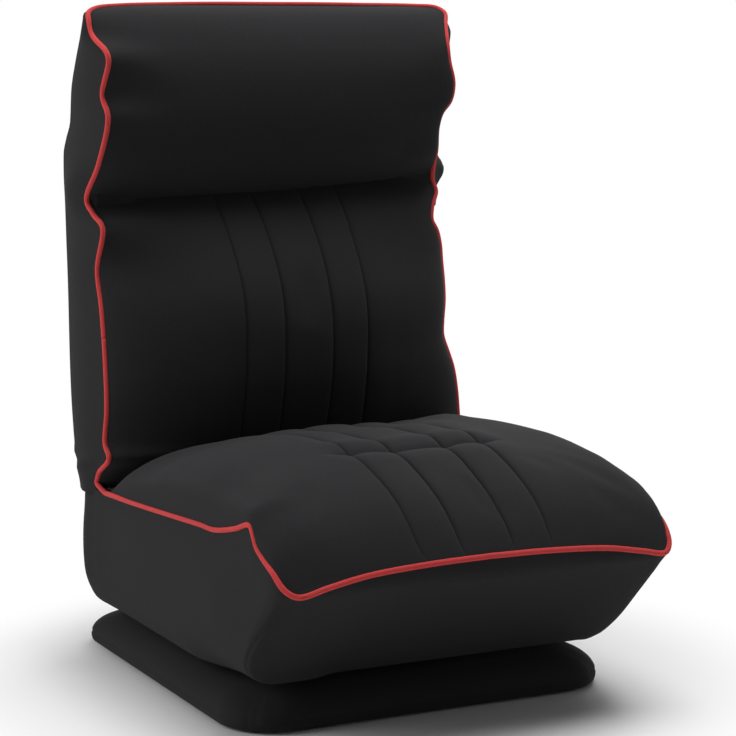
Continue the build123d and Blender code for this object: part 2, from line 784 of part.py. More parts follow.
# The neck ratchet stands upside down: its bracket is on the headrest, its toothed arm on the back.
neck_frame = NECK_OUT - FRAME_OUT
save_ratchets(
    "neck",
    neck_axis,
    (0, -lean_cos, lean_sin),
    [(-neck_frame, -NECK_FOOT_NEAR), (-neck_frame, -NECK_FOOT_FAR)],
    [(-neck_frame, NECK_ARM_NEAR), (-neck_frame, NECK_ARM_FAR)],
    NECK_CLICKS,
)

# Back frame
with BuildPart() as back_frame:
    for part_of_tube, mode in ((0, Mode.ADD), (TUBE_WALL, Mode.SUBTRACT)):
        with BuildSketch(back_plane(BACK_TUBE_LOW)):
            with Locations((-back_tube_x, FRAME_OUT), (back_tube_x, FRAME_OUT)):
                Circle(BACK_TUBE_R - part_of_tube)
        extrude(amount=BACK_TUBE_LOW - back_tube_high, mode=mode)
        with BuildSketch(back_side.offset(-back_tube_x)):
            with Locations((-FRAME_OUT, CROSS_LOW), (-FRAME_OUT, cross_high)):
                Circle(CROSS_TUBE_R - part_of_tube)
        extrude(amount=2 * back_tube_x, mode=mode)
save(back_frame.part, "back_frame")

with BuildPart() as back_webbing:
    for step in (-0.5, 0.5):
        belt_low = BACK_WEB_MIDDLE + step * BACK_WEB_PITCH - BACK_WEB_WIDTH / 2
        with BuildSketch(back_plane(belt_low)):
            with Locations((0, FRAME_OUT)):
                SlotCenterToCenter(2 * back_tube_x, 2 * (BACK_TUBE_R + FIT + WEB))
                SlotCenterToCenter(2 * back_tube_x, 2 * (BACK_TUBE_R + FIT), mode=Mode.SUBTRACT)
        extrude(amount=-BACK_WEB_WIDTH)
save(back_webbing.part, "back_webbing")

# Back cover: rear panel and two side bands, the rear edges rounded
with BuildPart() as back_cover:
    for wall, mode in ((0, Mode.ADD), (BACK_WALL, Mode.SUBTRACT)):
        with BuildSketch(back_plane(-BARREL_R)):
            with BuildLine():
                FilletPolyline(
                    (back_half - wall, RIM_OUT + COVER_REACH + wall),
                    (back_half - wall, wall - BARREL_R),
                    (wall - back_half, wall - BARREL_R),
                    (wall - back_half, RIM_OUT + COVER_REACH + wall),
                    radius=[0, BACK_CORNER - wall, BACK_CORNER - wall, 0],
                    close=True,
                )
            make_face()
        extrude(amount=-BARREL_R - NECK_UP, mode=mode)
    with BuildSketch(back_side.offset(-back_half)):
        with BuildLine():
            Polyline(
                (BARREL_R, 0),
                (BARREL_R, NECK_UP - FIT / 2),
                (-NECK_OUT, NECK_UP - FIT / 2),
                (-RIM_OUT, NECK_UP - (RIM_OUT - NECK_OUT) * math.tan(math.radians(NOTCH_LOW))),
                (-RIM_OUT, -BARREL_R),
                (0, -BARREL_R),
            )
            RadiusArc((0, -BARREL_R), (BARREL_R, 0), -BARREL_R)
        make_face()
        with Locations((-NECK_OUT, NECK_UP)):
            Circle(NECK_R + FIT, mode=Mode.SUBTRACT)
    extrude(amount=2 * back_half, mode=Mode.INTERSECT)
    # Slits through which the recline brackets come up from the seat.
    for near in (-slit_x, pocket_x):
        with BuildSketch(back_side.offset(near)):
            with BuildLine():
                Polyline(
                    (-RIM_OUT, -2 * BARREL_R),
                    (2 * BARREL_R, -2 * BARREL_R),
                    (2 * BARREL_R, SLIT_TOP),
                    (-RIM_OUT, SLIT_TOP),
                    close=True,
                )
            make_face()
        extrude(amount=slit_x - pocket_x, mode=Mode.SUBTRACT)
save(back_cover.part, "back_cover")

with BuildPart() as back_rear_pad:
    with BuildSketch(back_side.offset(-rear_pad_half)):
        Circle(BARREL_R - BACK_WALL - FIT)
        with BuildLine():
            Polyline(
                (BARREL_R - BACK_WALL - FIT, 0),
                (BARREL_R - BACK_WALL - FIT, rear_pad_top),
                (BACK_TUBE_R + FIT + WEB - FRAME_OUT, rear_pad_top),
                (BACK_TUBE_R + FIT + WEB - FRAME_OUT, 0),
                close=True,
            )
        make_face()
    extrude(amount=2 * rear_pad_half)
save(back_rear_pad.part, "back_rear_pad")

# Height up the back, draw-in of the sides, rim, crown and shoulder of the back cushion.
BACK_CROWN = [
    (4 - BARREL_R, 8, RIM_OUT - 8, 92, 12),
    (6, 4, RIM_OUT - 2, 108, 18),
    (38, 1, RIM_OUT, 123, 22),
    (75, 0, RIM_OUT, 139, 26),
    (125, 0, RIM_OUT, 153, 26),
    (NECK_UP - 147, 0, RIM_OUT, 155, 24),
    (NECK_UP - 97, 1, RIM_OUT, 143, 22),
    (NECK_UP - 57, 4, RIM_OUT - 2, 114, 18),
    (NECK_UP - 29, 8, RIM_OUT - 7, 85, 10),
    (NECK_UP - 15, 12, RIM_OUT - 15, 60, 4),
    (NECK_UP - 8, 16, RIM_OUT - 21, 50, 2),
]


def hinge_pockets(reach):
    """Pockets in a cushion's corners, clear of the neck ratchets up to a reach along the back."""
    with BuildPart() as pockets:
        for near in (-back_half, pocket_x):
            with BuildSketch(back_side.offset(near)):
                with BuildLine():
                    CenterArc((-NECK_OUT, NECK_UP), POCKET_R, 0, 360)
                    CenterArc((-FRAME_OUT, NECK_UP + reach), ARM_END_R + 2 * BACK_WALL, 0, 360)
                make_hull()
            extrude(amount=back_half - pocket_x, dir=back_side.z_dir)
    return pockets.part


with BuildPart() as back_cushion:
    loft(
        sections=[
            cushion_section(
                back_plane(up),
                back_half - BACK_WALL - FIT - draw_in,
                CUSHION_BASE_OUT,
                rim,
                crown,
                shoulder,
            )
            for up, draw_in, rim, crown, shoulder in BACK_CROWN
        ]
    )
    add(hinge_pockets(-NECK_ARM_FAR), mode=Mode.SUBTRACT)
save(back_cushion.part, "back_cushion")


def straight_piping(sign):
    """Cord along one edge of the back, between its side band and its cushion."""
    with BuildPart() as piping:
        with BuildSketch(back_plane(0)):
            with Locations((sign * (back_half - BACK_WALL / 2), RIM_OUT + PIPING_R + FIT)):
                Circle(PIPING_R)
        extrude(amount=-rear_pad_top)
    return piping.part


save(straight_piping(-1), "back_piping_left")
save(straight_piping(1), "back_piping_right")

# Headrest
def back_point(x, rear, up):
    """Point in the chair's frame of a place given along the leaning back."""
    y, z = lean_point(rear, up)
    return (x, HIP_Y + y, hip_z + z)


with BuildPart() as headrest_frame:
    leg_low = NECK_UP + NECK_FOOT_NEAR - ARM_END_R
    with BuildLine() as head_path:
        FilletPolyline(
            back_point(-head_tube_x, -FRAME_OUT, leg_low),
            back_point(-head_tube_x, -FRAME_OUT, head_tube_top),
            back_point(head_tube_x, -FRAME_OUT, head_tube_top),
            back_point(head_tube_x, -FRAME_OUT, leg_low),
            radius=HEAD_TUBE_BEND,
        )
    with BuildSketch(Plane(head_path.line @ 0, z_dir=head_path.line % 0)):
        Circle(BACK_TUBE_R)
        Circle(BACK_TUBE_R - TUBE_WALL, mode=Mode.SUBTRACT)
    sweep()
save(headrest_frame.part, "headrest_frame")


def head_side(wall, out):
    """Side view of the headrest, its rear and top drawn in by a wall and its front edge moved out."""
    notch_rise = (NECK_R + out) * math.tan(math.radians(NOTCH_HIGH))
    with BuildSketch(back_side) as side:
        with BuildLine():
            FilletPolyline(
                (BARREL_R - wall, NECK_UP + FIT / 2),
                (BARREL_R - wall, head_shoulder),
                (BARREL_R - HEAD_STEP - wall, head_step_up),
                (BARREL_R - HEAD_TAPER - wall, head_taper_up),
                (-HEAD_TOP_OUT - wall, head_top - wall),
                (-HEAD_TOP_OUT - HEAD_TOP_FLAT - out, head_top - wall),
                (-HEAD_RIM_OUT - out, head_rim_high),
                (-HEAD_RIM_OUT - out, head_rim_low),
                (-NECK_OUT - NECK_R - out, NECK_UP + FIT / 2 + notch_rise),
                (-NECK_OUT, NECK_UP + FIT / 2),
                radius=[0, HEAD_BEND, HEAD_BEND, HEAD_BEND, 0, 0, HEAD_BEND, HEAD_BEND, 0, 0],
                close=True,
            )
        make_face()
    return side.sketch


head_piping_x = back_half - BACK_WALL / 2
edge_slope = (HEAD_RIM_OUT - NECK_OUT - NECK_R) / (head_rim_low - NECK_UP)
head_piping_side = [
    (-NECK_OUT - NECK_R - HEAD_PIPING_LOW * edge_slope - PIPING_R, NECK_UP + HEAD_PIPING_LOW),
    (-HEAD_RIM_OUT - PIPING_R, head_rim_low),
    (-HEAD_RIM_OUT - PIPING_R, head_rim_high),
    (-HEAD_TOP_OUT - HEAD_TOP_FLAT - PIPING_R, head_top),
]
with BuildLine() as head_piping_path:
    FilletPolyline(
        *[back_point(-head_piping_x, rear, up) for rear, up in head_piping_side],
        *[back_point(head_piping_x, rear, up) for rear, up in reversed(head_piping_side)],
        radius=[HEAD_BEND, HEAD_BEND, HEAD_PIPING_BEND, HEAD_PIPING_BEND, HEAD_BEND, HEAD_BEND],
    )
headrest_piping = cord(head_piping_path.line, PIPING_R)
headrest_piping_groove = cord(head_piping_path.line, PIPING_R + RUNNING_FIT)
save(headrest_piping, "headrest_piping")

with BuildPart() as headrest_cover:
    extrude(head_side(0, 0), amount=back_half, both=True)
    extrude(head_side(BACK_WALL, 2 * BACK_WALL), amount=back_half - BACK_WALL, both=True, mode=Mode.SUBTRACT)
    for inner_face in (-back_half, back_half - BACK_WALL):
        with BuildSketch(back_side.offset(inner_face)):
            with Locations((-NECK_OUT, NECK_UP)):
                Circle(NECK_R)
        extrude(amount=BACK_WALL)
    add(headrest_piping_groove, mode=Mode.SUBTRACT)
save(headrest_cover.part, "headrest_cover")

with BuildPart() as headrest_rear_pad:
    pad_rear = BARREL_R - BACK_WALL - FIT
    pad_front = BACK_TUBE_R + FIT - FRAME_OUT
    with BuildSketch(back_side.offset(-rear_pad_half)):
        with BuildLine():
            Polyline(
                (pad_rear, NECK_UP + BACK_WALL),
                (pad_rear, head_shoulder - HEAD_BEND / 2),
                (pad_rear - HEAD_STEP, head_step_up - HEAD_BEND / 2),
                (pad_front, head_step_up - HEAD_BEND / 2),
                (pad_front, NECK_UP + BACK_WALL),
                close=True,
            )
        make_face()
    extrude(amount=2 * rear_pad_half)
save(headrest_rear_pad.part, "headrest_rear_pad")


def head_section(up, base, rim, puff, draw_in):
    """Section across the headrest roll: flat base, short sides and one crowned front."""
    half = back_half - BACK_WALL - FIT - draw_in
    with BuildSketch(back_plane(up)) as section:
        with BuildLine():
            Line((-half, base), (half, base))
            Line((half, base), (half, rim))
            SagittaArc((half, rim), (-half, rim), -puff)
            Line((-half, rim), (-half, base))
        make_face()
    return section.sketch


# Height, rear line, rim line, puff and draw-in of the headrest roll, from the crease to its top.
top_base = HEAD_TOP_OUT + BACK_WALL + FIT
HEAD_ROLL = [
    (NECK_UP + 6, CUSHION_BASE_OUT, NECK_OUT + NECK_R + 1, 6, 16),
    (NECK_UP + 16, CUSHION_BASE_OUT, NECK_OUT + NECK_R + 12, HEAD_PUFF, 12),
    (NECK_UP + 44, CUSHION_BASE_OUT, NECK_OUT + NECK_R + 44, HEAD_PUFF + 4, 4),
    (head_rim_low, CUSHION_BASE_OUT, HEAD_RIM_OUT - 6, HEAD_PUFF, 0),
    ((head_rim_low + head_rim_high) / 2, CUSHION_BASE_OUT, HEAD_RIM_OUT, HEAD_PUFF, 0),
    (head_rim_high, CUSHION_BASE_OUT + 9, HEAD_RIM_OUT - 8, HEAD_PUFF - 2, 0),
    (head_top - 16, top_base - 6, HEAD_TOP_OUT + HEAD_TOP_FLAT + 9, HEAD_PUFF - 2, 2),
    (head_top - BACK_WALL - FIT, top_base, HEAD_TOP_OUT + HEAD_TOP_FLAT - 2, 3, 5),
]

with BuildPart() as headrest_cushion:
    loft(sections=[head_section(*row) for row in HEAD_ROLL])
    add(hinge_pockets(NECK_FOOT_FAR), mode=Mode.SUBTRACT)
    add(headrest_piping_groove, mode=Mode.SUBTRACT)
save(headrest_cushion.part, "headrest_cushion")
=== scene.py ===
"""Looks of the swivel floor chair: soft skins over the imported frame, materials, floor, light and camera."""
import json
import math

import bmesh
import bpy
import numpy as np
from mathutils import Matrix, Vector


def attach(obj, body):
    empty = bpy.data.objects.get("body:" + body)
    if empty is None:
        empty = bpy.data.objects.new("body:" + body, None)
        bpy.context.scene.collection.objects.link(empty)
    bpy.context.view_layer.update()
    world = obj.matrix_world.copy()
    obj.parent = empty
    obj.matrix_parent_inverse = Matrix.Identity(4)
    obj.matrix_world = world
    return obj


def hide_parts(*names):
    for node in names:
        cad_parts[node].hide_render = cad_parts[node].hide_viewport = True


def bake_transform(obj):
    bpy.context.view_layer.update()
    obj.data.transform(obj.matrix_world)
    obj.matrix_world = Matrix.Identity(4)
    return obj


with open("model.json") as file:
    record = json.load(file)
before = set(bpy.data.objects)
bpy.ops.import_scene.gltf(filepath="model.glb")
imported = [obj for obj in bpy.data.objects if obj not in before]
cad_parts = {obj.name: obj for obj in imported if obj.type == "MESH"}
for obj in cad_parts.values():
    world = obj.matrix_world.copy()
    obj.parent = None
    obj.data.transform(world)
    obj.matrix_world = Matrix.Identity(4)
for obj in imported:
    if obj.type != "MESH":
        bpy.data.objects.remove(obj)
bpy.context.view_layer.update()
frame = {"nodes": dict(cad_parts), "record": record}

MM = 0.001

# Camera of the photograph
CAMERA_AZIMUTH = math.radians(-26.69)
CAMERA_ELEVATION = math.radians(8.23)
CAMERA_DISTANCE = 2.832
CAMERA_TARGET = Vector((0.0074, -0.0156, 0.3746))
CAMERA_LENS = 115.87
CAMERA_SENSOR = 36

# Sizes that several pieces share (mm)
SWIVEL_Y = 45
SEAT_HALF = 250
SEAT_FRONT = -330
HIP_Y = 193
SPLIT_Z = 400

# Sewn seams of the seat and the back, as distances from the middle plane (mm)
SEAMS = (-85, -33, 33, 84)
SEAM_DEPTH = 4.2
SEAM_SHARPNESS = 2.4
PUFF_REACH = 13
OUTER_PUFF = 0.5
OUTER_PUFF_AT = 22
OUTER_PUFF_REACH = 18

# Edges of the two sides where the red cord runs, from the headrest's top to the hip (x, y, z in mm)
LEFT_UPPER = [
    (-120, 249, 806), (-200, 247, 804), (-234, 241, 801), (-249, 230, 795), (-252, 221, 787),
    (-252, 210, 769), (-251, 164, 748), (-250, 160, 738), (-250, 183, 697), (-250, 165, 671),
    (-250, 199, 614), (-250, 245, 567), (-249, 225, 551), (-250, 189, 535), (-250, 210, 484),
    (-250, 197, 436), (-250, 187, 369), (-250, 185, 313), (-250, 193, 270), (-250, 180, 254),
    (-250, 216, 230), (-250, 225, 216),
]
RIGHT_UPPER = [
    (120, 249, 806), (205, 248, 805), (236, 243, 803), (243, 231, 796), (234, 212, 781), (224, 188, 757),
    (224, 183, 735), (231, 184, 706), (230, 190, 684), (224, 202, 668), (222, 210, 648), (222, 213, 620),
    (226, 230, 591), (229, 236, 577), (232, 232, 564), (219, 218, 546), (215, 212, 528), (222, 211, 514),
    (226, 210, 496), (227, 208, 474), (226, 201, 449), (224, 195, 423), (220, 191, 398), (219, 189, 378),
    (226, 187, 356), (233, 186, 335), (238, 186, 308), (244, 192, 280), (247, 196, 262), (249, 208, 240),
    (250, 224, 216),
]
# The seat's rim from the hip to the middle of its front, on each side (x, y, z in mm)
LEFT_RIM = [
    (-250, 193, 208), (-250, 110, 212), (-250, -3, 219), (-250, -108, 226), (-250, -151, 228),
    (-250, -207, 240), (-250, -248, 251), (-250, -256, 242), (-250, -264, 231), (-250, -282, 221),
    (-249, -303, 211), (-243, -318, 195), (-230, -325, 187), (-196, -330, 195), (-150, -330, 203),
    (-75, -330, 208), (0, -330, 209.5),
]
RIGHT_RIM = [
    (250, 193, 208), (250, 110, 212), (250, -3, 217), (250, -108, 221), (250, -151, 223),
    (249, -207, 226), (246, -256, 228), (244, -288, 222), (240, -311, 209), (235, -323, 197),
    (226, -329, 190), (196, -330, 195), (150, -330, 203), (75, -330, 208), (0, -330, 209.5),
]
# The seat's rim behind the hip, from the middle of the rear to the left
REAR_RIM = [
    (0, 291, 210), (-150, 291, 210), (-222, 289, 209), (-243, 281, 208), (-251, 262, 207), (-251, 225, 207),
]

# Profiles in the middle plane (mm): depth by height for the back, height by depth for the seat
BACK_FRONT = [
    (205, 186), (218, 177), (236, 163), (256, 151), (282, 143), (315, 134), (354, 125), (405, 123),
    (442, 128), (472, 141), (501, 163), (530, 194), (548, 220), (560, 238), (568, 252),
]
HEAD_FRONT = [
    (550, 256), (556, 247), (565, 231), (580, 209), (600, 189), (625, 174), (655, 166), (685, 163),
    (715, 164), (745, 171), (770, 186), (790, 209), (800, 228), (806, 249),
]
REAR = [
    (195, 291), (230, 296), (314, 309), (414, 319), (502, 325), (560, 328), (595, 331), (620, 330),
    (640, 319), (660, 304), (701, 297), (738, 279), (770, 260), (790, 252), (806, 250),
]
SEAT_TOP = [
    (-330, 209.5), (-323, 218), (-313, 232), (-302, 246), (-290, 258), (-276, 270), (-260, 279),
    (-241, 286.5), (-220, 292), (-196, 296), (-165, 299), (-130, 302), (-95, 304), (-55, 302), (0, 294),
    (60, 285), (105, 280), (122, 277), (138, 268), (150, 250), (160, 228), (172, 214), (193, 209), (285, 208),
]
# Height of the fuller right shoulder of the seat, by depth (mm)
RIGHT_SHOULDER = [
    (-330, 200), (-319, 217), (-298, 241), (-266, 264), (-234, 280), (-180, 295), (-89, 304), (-17, 304),
    (58, 300), (122, 293), (144, 277), (158, 242), (172, 216), (193, 209), (285, 208),
]

# Curves
STRETCH_POINTS = 24
PATH_STEP = 4
UNEVEN_WAVES = 6


def cubic(first, first_slope, last, last_slope, length, s):
    """Value at share s of a cubic stretch between two values with given slopes."""
    return (
        first * (1 + 2 * s) * (1 - s) ** 2
        + first_slope * length * s * (1 - s) ** 2
        + last * s * s * (3 - 2 * s)
        + last_slope * length * s * s * (s - 1)
    )


def hermite(keys):
    """Smooth function through (place, value) keys, without overshoot."""
    t, v = np.array(keys, float).T
    slope = np.diff(v) / np.diff(t)
    m = np.empty_like(v)
    m[0] = slope[0]
    m[-1] = slope[-1]
    for i in range(1, len(t) - 1):
        a, b = slope[i - 1], slope[i]
        m[i] = 0 if a * b <= 0 else 2 * a * b / (a + b)

    def value(x):
        x = np.clip(x, t[0], t[-1])
        i = np.clip(np.searchsorted(t, x) - 1, 0, len(t) - 2)
        length = t[i + 1] - t[i]
        return cubic(v[i], m[i], v[i + 1], m[i + 1], length, (x - t[i]) / length)

    return value


def run_along(path):
    """Distance along a path at each of its points."""
    return np.concatenate([[0], np.cumsum(np.linalg.norm(np.diff(path, axis=0), axis=1))])


def stretches(*parts):
    """Places along several stretches, each given by its start, its end and a count."""
    return np.concatenate([np.linspace(*part) for part in parts])


def points_at(path, along, wanted):
    """Points of a path at the wanted distances along it."""
    return np.stack([np.interp(wanted, along, path[:, k]) for k in range(path.shape[1])], axis=1)


def smooth_path(points, step):
    """Points every step mm along a smooth curve through the given points."""
    p = np.array(points, float)
    chord = np.sqrt(np.linalg.norm(np.diff(p, axis=0), axis=1))
    t = np.concatenate([[0], np.cumsum(chord)])
    m = np.gradient(p, t, axis=0)
    s = np.linspace(0, 1, STRETCH_POINTS, endpoint=False)[:, None]
    dense = [cubic(p[i], m[i], p[i + 1], m[i + 1], t[i + 1] - t[i], s) for i in range(len(p) - 1)]
    dense = np.vstack(dense + [p[-1:]])
    along = run_along(dense)
    return points_at(dense, along, np.linspace(0, along[-1], max(2, int(along[-1] / step))))


def by_axis(path, axis):
    """Path coordinates as functions of one coordinate that only grows or only falls along it."""
    order = np.argsort(path[:, axis])
    p = path[order]
    return lambda value: np.stack([np.interp(value, p[:, axis], p[:, k]) for k in range(3)], axis=-1)


def fade(x, low, high):
    """Smooth step from 0 at low to 1 at high."""
    s = np.clip((x - low) / (high - low), 0, 1)
    return s * s * (3 - 2 * s)


def bump(x, at, reach):
    """Bell of height 1 at a place, with a given reach to both sides."""
    return np.exp(-(((x - at) / reach) ** 2))


def curl(height, over):
    """Quarter round of an edge: 0 from a height upwards, 1 at height 0."""
    return 1 - np.sqrt(1 - np.clip(1 - height / over, 0, 1) ** 2)


def unevenness(p, wavelength, seed):
    """Gentle seeded unevenness of hand-sewn cloth, mostly between -1 and 1."""
    draw = np.random.RandomState(seed)
    total = np.zeros(p.shape[:-1])
    for _ in range(UNEVEN_WAVES):
        direction = draw.normal(size=3)
        direction *= 2 * math.pi / wavelength / np.linalg.norm(direction)
        total = total + np.sin(p @ direction + draw.uniform(0, 2 * math.pi))
    return total / (UNEVEN_WAVES / 2)


def ring_round_swivel(points, radius, z):
    """Circle round the swivel's axis, with one point in the direction of each given point."""
    angle = np.arctan2(points[:, 1] - SWIVEL_Y, points[:, 0])
    x = radius * np.cos(angle)
    y = SWIVEL_Y + radius * np.sin(angle)
    return np.column_stack([x, y, np.full(len(angle), z)])


# Meshes
MERGE_DISTANCE = 1e-6
CORD_SIDES = 12
# A direction that no cord starts in
OFF_CORD = (0.3, 0.2, 0.9)


def finish_mesh(obj):
    """Merged points, consistent outward normals and smooth shading."""
    bm = bmesh.new()
    bm.from_mesh(obj.data)
    bmesh.ops.remove_doubles(bm, verts=bm.verts, dist=MERGE_DISTANCE)
    bmesh.ops.recalc_face_normals(bm, faces=bm.faces)
    bm.to_mesh(obj.data)
    bm.free()
    obj.data.polygons.foreach_set("use_smooth", [True] * len(obj.data.polygons))


def skin(name, p, close=False, caps=(False, False)):
    """Mesh over a grid of points in mm: rows by columns, columns closed into loops if asked."""
    rows, columns = p.shape[:2]
    verts = [tuple(v) for v in (p.reshape(-1, 3) * MM)]
    last = columns if close else columns - 1
    faces = [
        (i * columns + j, i * columns + (j + 1) % columns,
         (i + 1) * columns + (j + 1) % columns, (i + 1) * columns + j)
        for i in range(rows - 1)
        for j in range(last)
    ]
    for row, wanted in ((0, caps[0]), (rows - 1, caps[1])):
        if wanted:
            middle = len(verts)
            verts.append(tuple(p[row].mean(axis=0) * MM))
            faces += [(row * columns + j, row * columns + (j + 1) % columns, middle) for j in range(last)]
    mesh = bpy.data.meshes.new(name)
    mesh.from_pydata(verts, [], faces)
    obj = bpy.data.objects.new(name, mesh)
    bpy.context.scene.collection.objects.link(obj)
    finish_mesh(obj)
    return obj


def cord_tube(name, path, radius):
    """Round sewn cord along a path in mm, with closed ends."""
    tangent = np.gradient(path, axis=0)
    tangent /= np.linalg.norm(tangent, axis=1)[:, None]
    side = np.cross(tangent[0], OFF_CORD)
    angle = np.linspace(0, 2 * math.pi, CORD_SIDES, endpoint=False)[:, None]
    rings = []
    for point, along in zip(path, tangent):
        side = side - along * (side @ along)
        side /= np.linalg.norm(side)
        other = np.cross(along, side)
        rings.append(point + radius * (np.cos(angle) * side + np.sin(angle) * other))
    return skin(name, np.array(rings), close=True, caps=(True, True))


# Edges and profiles as functions of height and of depth
RIM_SIDE_X = 226
left_upper = smooth_path(LEFT_UPPER, PATH_STEP)
right_upper = smooth_path(RIGHT_UPPER, PATH_STEP)
left_rim = smooth_path(LEFT_RIM, PATH_STEP)
right_rim = smooth_path(RIGHT_RIM, PATH_STEP)
left_at = by_axis(left_upper, 2)
right_at = by_axis(right_upper, 2)
left_rim_at = by_axis(left_rim[left_rim[:, 0] < -RIM_SIDE_X], 1)
right_rim_at = by_axis(right_rim[right_rim[:, 0] > RIM_SIDE_X], 1)
back_line = hermite(BACK_FRONT)
head_line = hermite(HEAD_FRONT)
rear_line = hermite(REAR)
seat_line = hermite(SEAT_TOP)
shoulder_line = hermite(RIGHT_SHOULDER)

# Places across a cushion, as shares of its half width, and its sewn channels
EVEN_COUNT = 58
EVEN_REACH = 0.91
SEAM_CLEAR = 3.0
SEAM_OFFSETS = np.array([-15, -8.5, -5, -3, -1.7, -0.7, 0, 0.7, 1.7, 3, 5, 8.5, 15])
EDGE_PLACES = np.array([0.93, 0.95, 0.965, 0.978, 0.988, 0.995, 1])


def across(half):
    """Places from -1 to 1, closer together at the seams and at both edges."""
    near = np.concatenate([(seam + SEAM_OFFSETS) / half for seam in SEAMS])
    even = np.linspace(-EVEN_REACH, EVEN_REACH, EVEN_COUNT)
    even = even[np.min(np.abs(even[:, None] - near[None, :]), axis=1) > SEAM_CLEAR / half]
    return np.unique(np.concatenate([-EDGE_PLACES, even, near, EDGE_PLACES]))


def channel(x, puff):
    """Height of the sewn channels at a distance from the middle: sharp at each seam, puffed between."""
    gap = np.min([np.abs(x - seam) for seam in SEAMS], axis=0)
    inner = 1 - np.exp(-gap / PUFF_REACH)
    outer = OUTER_PUFF * bump(gap, OUTER_PUFF_AT, OUTER_PUFF_REACH)
    swell = np.where(np.abs(x) < SEAMS[-1], inner, outer)
    return puff * swell - SEAM_DEPTH * np.exp(-gap / SEAM_SHARPNESS)


# Cloth simulation of the padded fronts: a plain sheet of each is blown up from behind, held at its border
SIM_ACROSS = np.linspace(-1, 1, 45)
SIM_PRESSURE = 4
SIM_FRAMES = 20
SIM_START_IN = 5
SIM_CAP = 9
SIM_BORDER = 0.16
SIM_QUALITY = 6
SIM_MASS = 0.3
SIM_BENDING = 2.0
LEAST_LENGTH = 1e-9


def grid_normals(p):
    """Unit normals of a grid of points, towards the side from which its columns run right and rows up."""
    normal = np.cross(np.gradient(p, axis=1), np.gradient(p, axis=0))
    return normal / np.maximum(np.linalg.norm(normal, axis=-1), LEAST_LENGTH)[..., None]


def border_distance(rows, columns):
    """0 on the border of a grid, rising to 1 at about a sixth of the way across it."""
    i = np.minimum(np.arange(rows), np.arange(rows)[::-1]) / rows
    j = np.minimum(np.arange(columns), np.arange(columns)[::-1]) / columns
    return fade(i, 0, SIM_BORDER)[:, None] * fade(j, 0, SIM_BORDER)[None, :]


def held_sheet(p):
    """Open sheet over a grid of points in mm, with its border in a vertex group."""
    rows, columns = p.shape[:2]
    mesh = bpy.data.meshes.new("sheet")
    faces = [
        (i * columns + j, i * columns + j + 1, (i + 1) * columns + j + 1, (i + 1) * columns + j)
        for i in range(rows - 1)
        for j in range(columns - 1)
    ]
    mesh.from_pydata([tuple(v) for v in p.reshape(-1, 3) * MM], [], faces)
    sheet = bpy.data.objects.new("sheet", mesh)
    bpy.context.scene.collection.objects.link(sheet)
    index = np.arange(rows * columns).reshape(rows, columns)
    border = np.concatenate([index[0], index[-1], index[1:-1, 0], index[1:-1, -1]])
    sheet.vertex_groups.new(name="held").add([int(i) for i in border], 1.0, "REPLACE")
    return sheet


def blow_up(sheet):
    """Vertex places in mm after the cloth simulation of a held sheet, which is then removed."""
    cloth = sheet.modifiers.new("cloth", "CLOTH")
    cloth.settings.quality = SIM_QUALITY
    cloth.settings.mass = SIM_MASS
    cloth.settings.bending_stiffness = SIM_BENDING
    cloth.settings.use_pressure = True
    cloth.settings.uniform_pressure_force = SIM_PRESSURE
    cloth.settings.vertex_group_mass = "held"
    cloth.settings.effector_weights.gravity = 0
    cloth.collision_settings.use_collision = False
    cloth.point_cache.frame_start = 1
    cloth.point_cache.frame_end = SIM_FRAMES
    for step in range(1, SIM_FRAMES + 1):
        bpy.context.scene.frame_set(step)
    shaped = sheet.evaluated_get(bpy.context.evaluated_depsgraph_get())
    mesh = sheet.data
    blown = np.empty(len(mesh.vertices) * 3)
    shaped.data.vertices.foreach_get("co", blown)
    bpy.data.objects.remove(sheet)
    bpy.data.meshes.remove(mesh)
    bpy.context.scene.frame_set(1)
    return blown / MM


def inflated(surface, s, t):
    """How the simulation moves a sheet, in mm, as a function of the places across and along it."""
    wanted = surface(s, t)
    rows, columns = wanted.shape[:2]
    start = wanted - grid_normals(wanted) * (SIM_START_IN * border_distance(rows, columns))[..., None]
    move = blow_up(held_sheet(start)).reshape(rows, columns, 3) - start
    length = np.maximum(np.linalg.norm(move, axis=-1), LEAST_LENGTH)
    move *= (np.minimum(length, SIM_CAP) / length)[..., None]
    move += start - wanted

    def at(across_at, along_at):
        by_row = np.stack([
            np.stack([np.interp(across_at, s, move[i, :, k]) for k in range(3)], axis=-1) for i in range(rows)
        ])
        spot = np.clip(np.interp(along_at, t, np.arange(rows), left=0, right=rows - 1), 0, rows - 1)
        low = np.minimum(spot.astype(int), rows - 2)
        share = (spot - low)[:, None, None]
        return by_row[low] * (1 - share) + by_row[low + 1] * share

    return at


# Seat top with its crown, channels and cross tuck, and the low deck behind it (lengths in mm)
SEAT_PUFF = 3.2
DECK_HALF = 246
DECK_Z = 207
CROWN_SQUARES = (-332, -288)
LEFT_FLATTENS = (10, 140)
FRONT_POWER = 2.5
LEFT_POWER = 3.3
LEFT_FLAT_POWER = 2.6
RIGHT_POWER = 5.5
SIDE_ROOT = 1.5
LEFT_FLAT_ROOT = 0.4
SIDE_REACH = 22
SIDE_REACH_BETWEEN = (60, 140)
SHOULDER_FROM = 0.1
# Swell of the left and the right side
SIDE_SWELL = (4, 5)
SIDE_SWELL_AT = 0.97
SIDE_SWELL_REACH = 0.028
SWELL_FROM = (-318, -250)
SWELL_TO = (110, 165)
SEAMS_FRONT = (-334, -312)
SEAMS_REAR = (128, 160)
TUCK_Y = -156
TUCK_WAVE = 6
TUCK_WAVELENGTH = 45
TUCK_END = (86, 120)
TUCK_DEPTH = 6
TUCK_SHARPNESS = 6
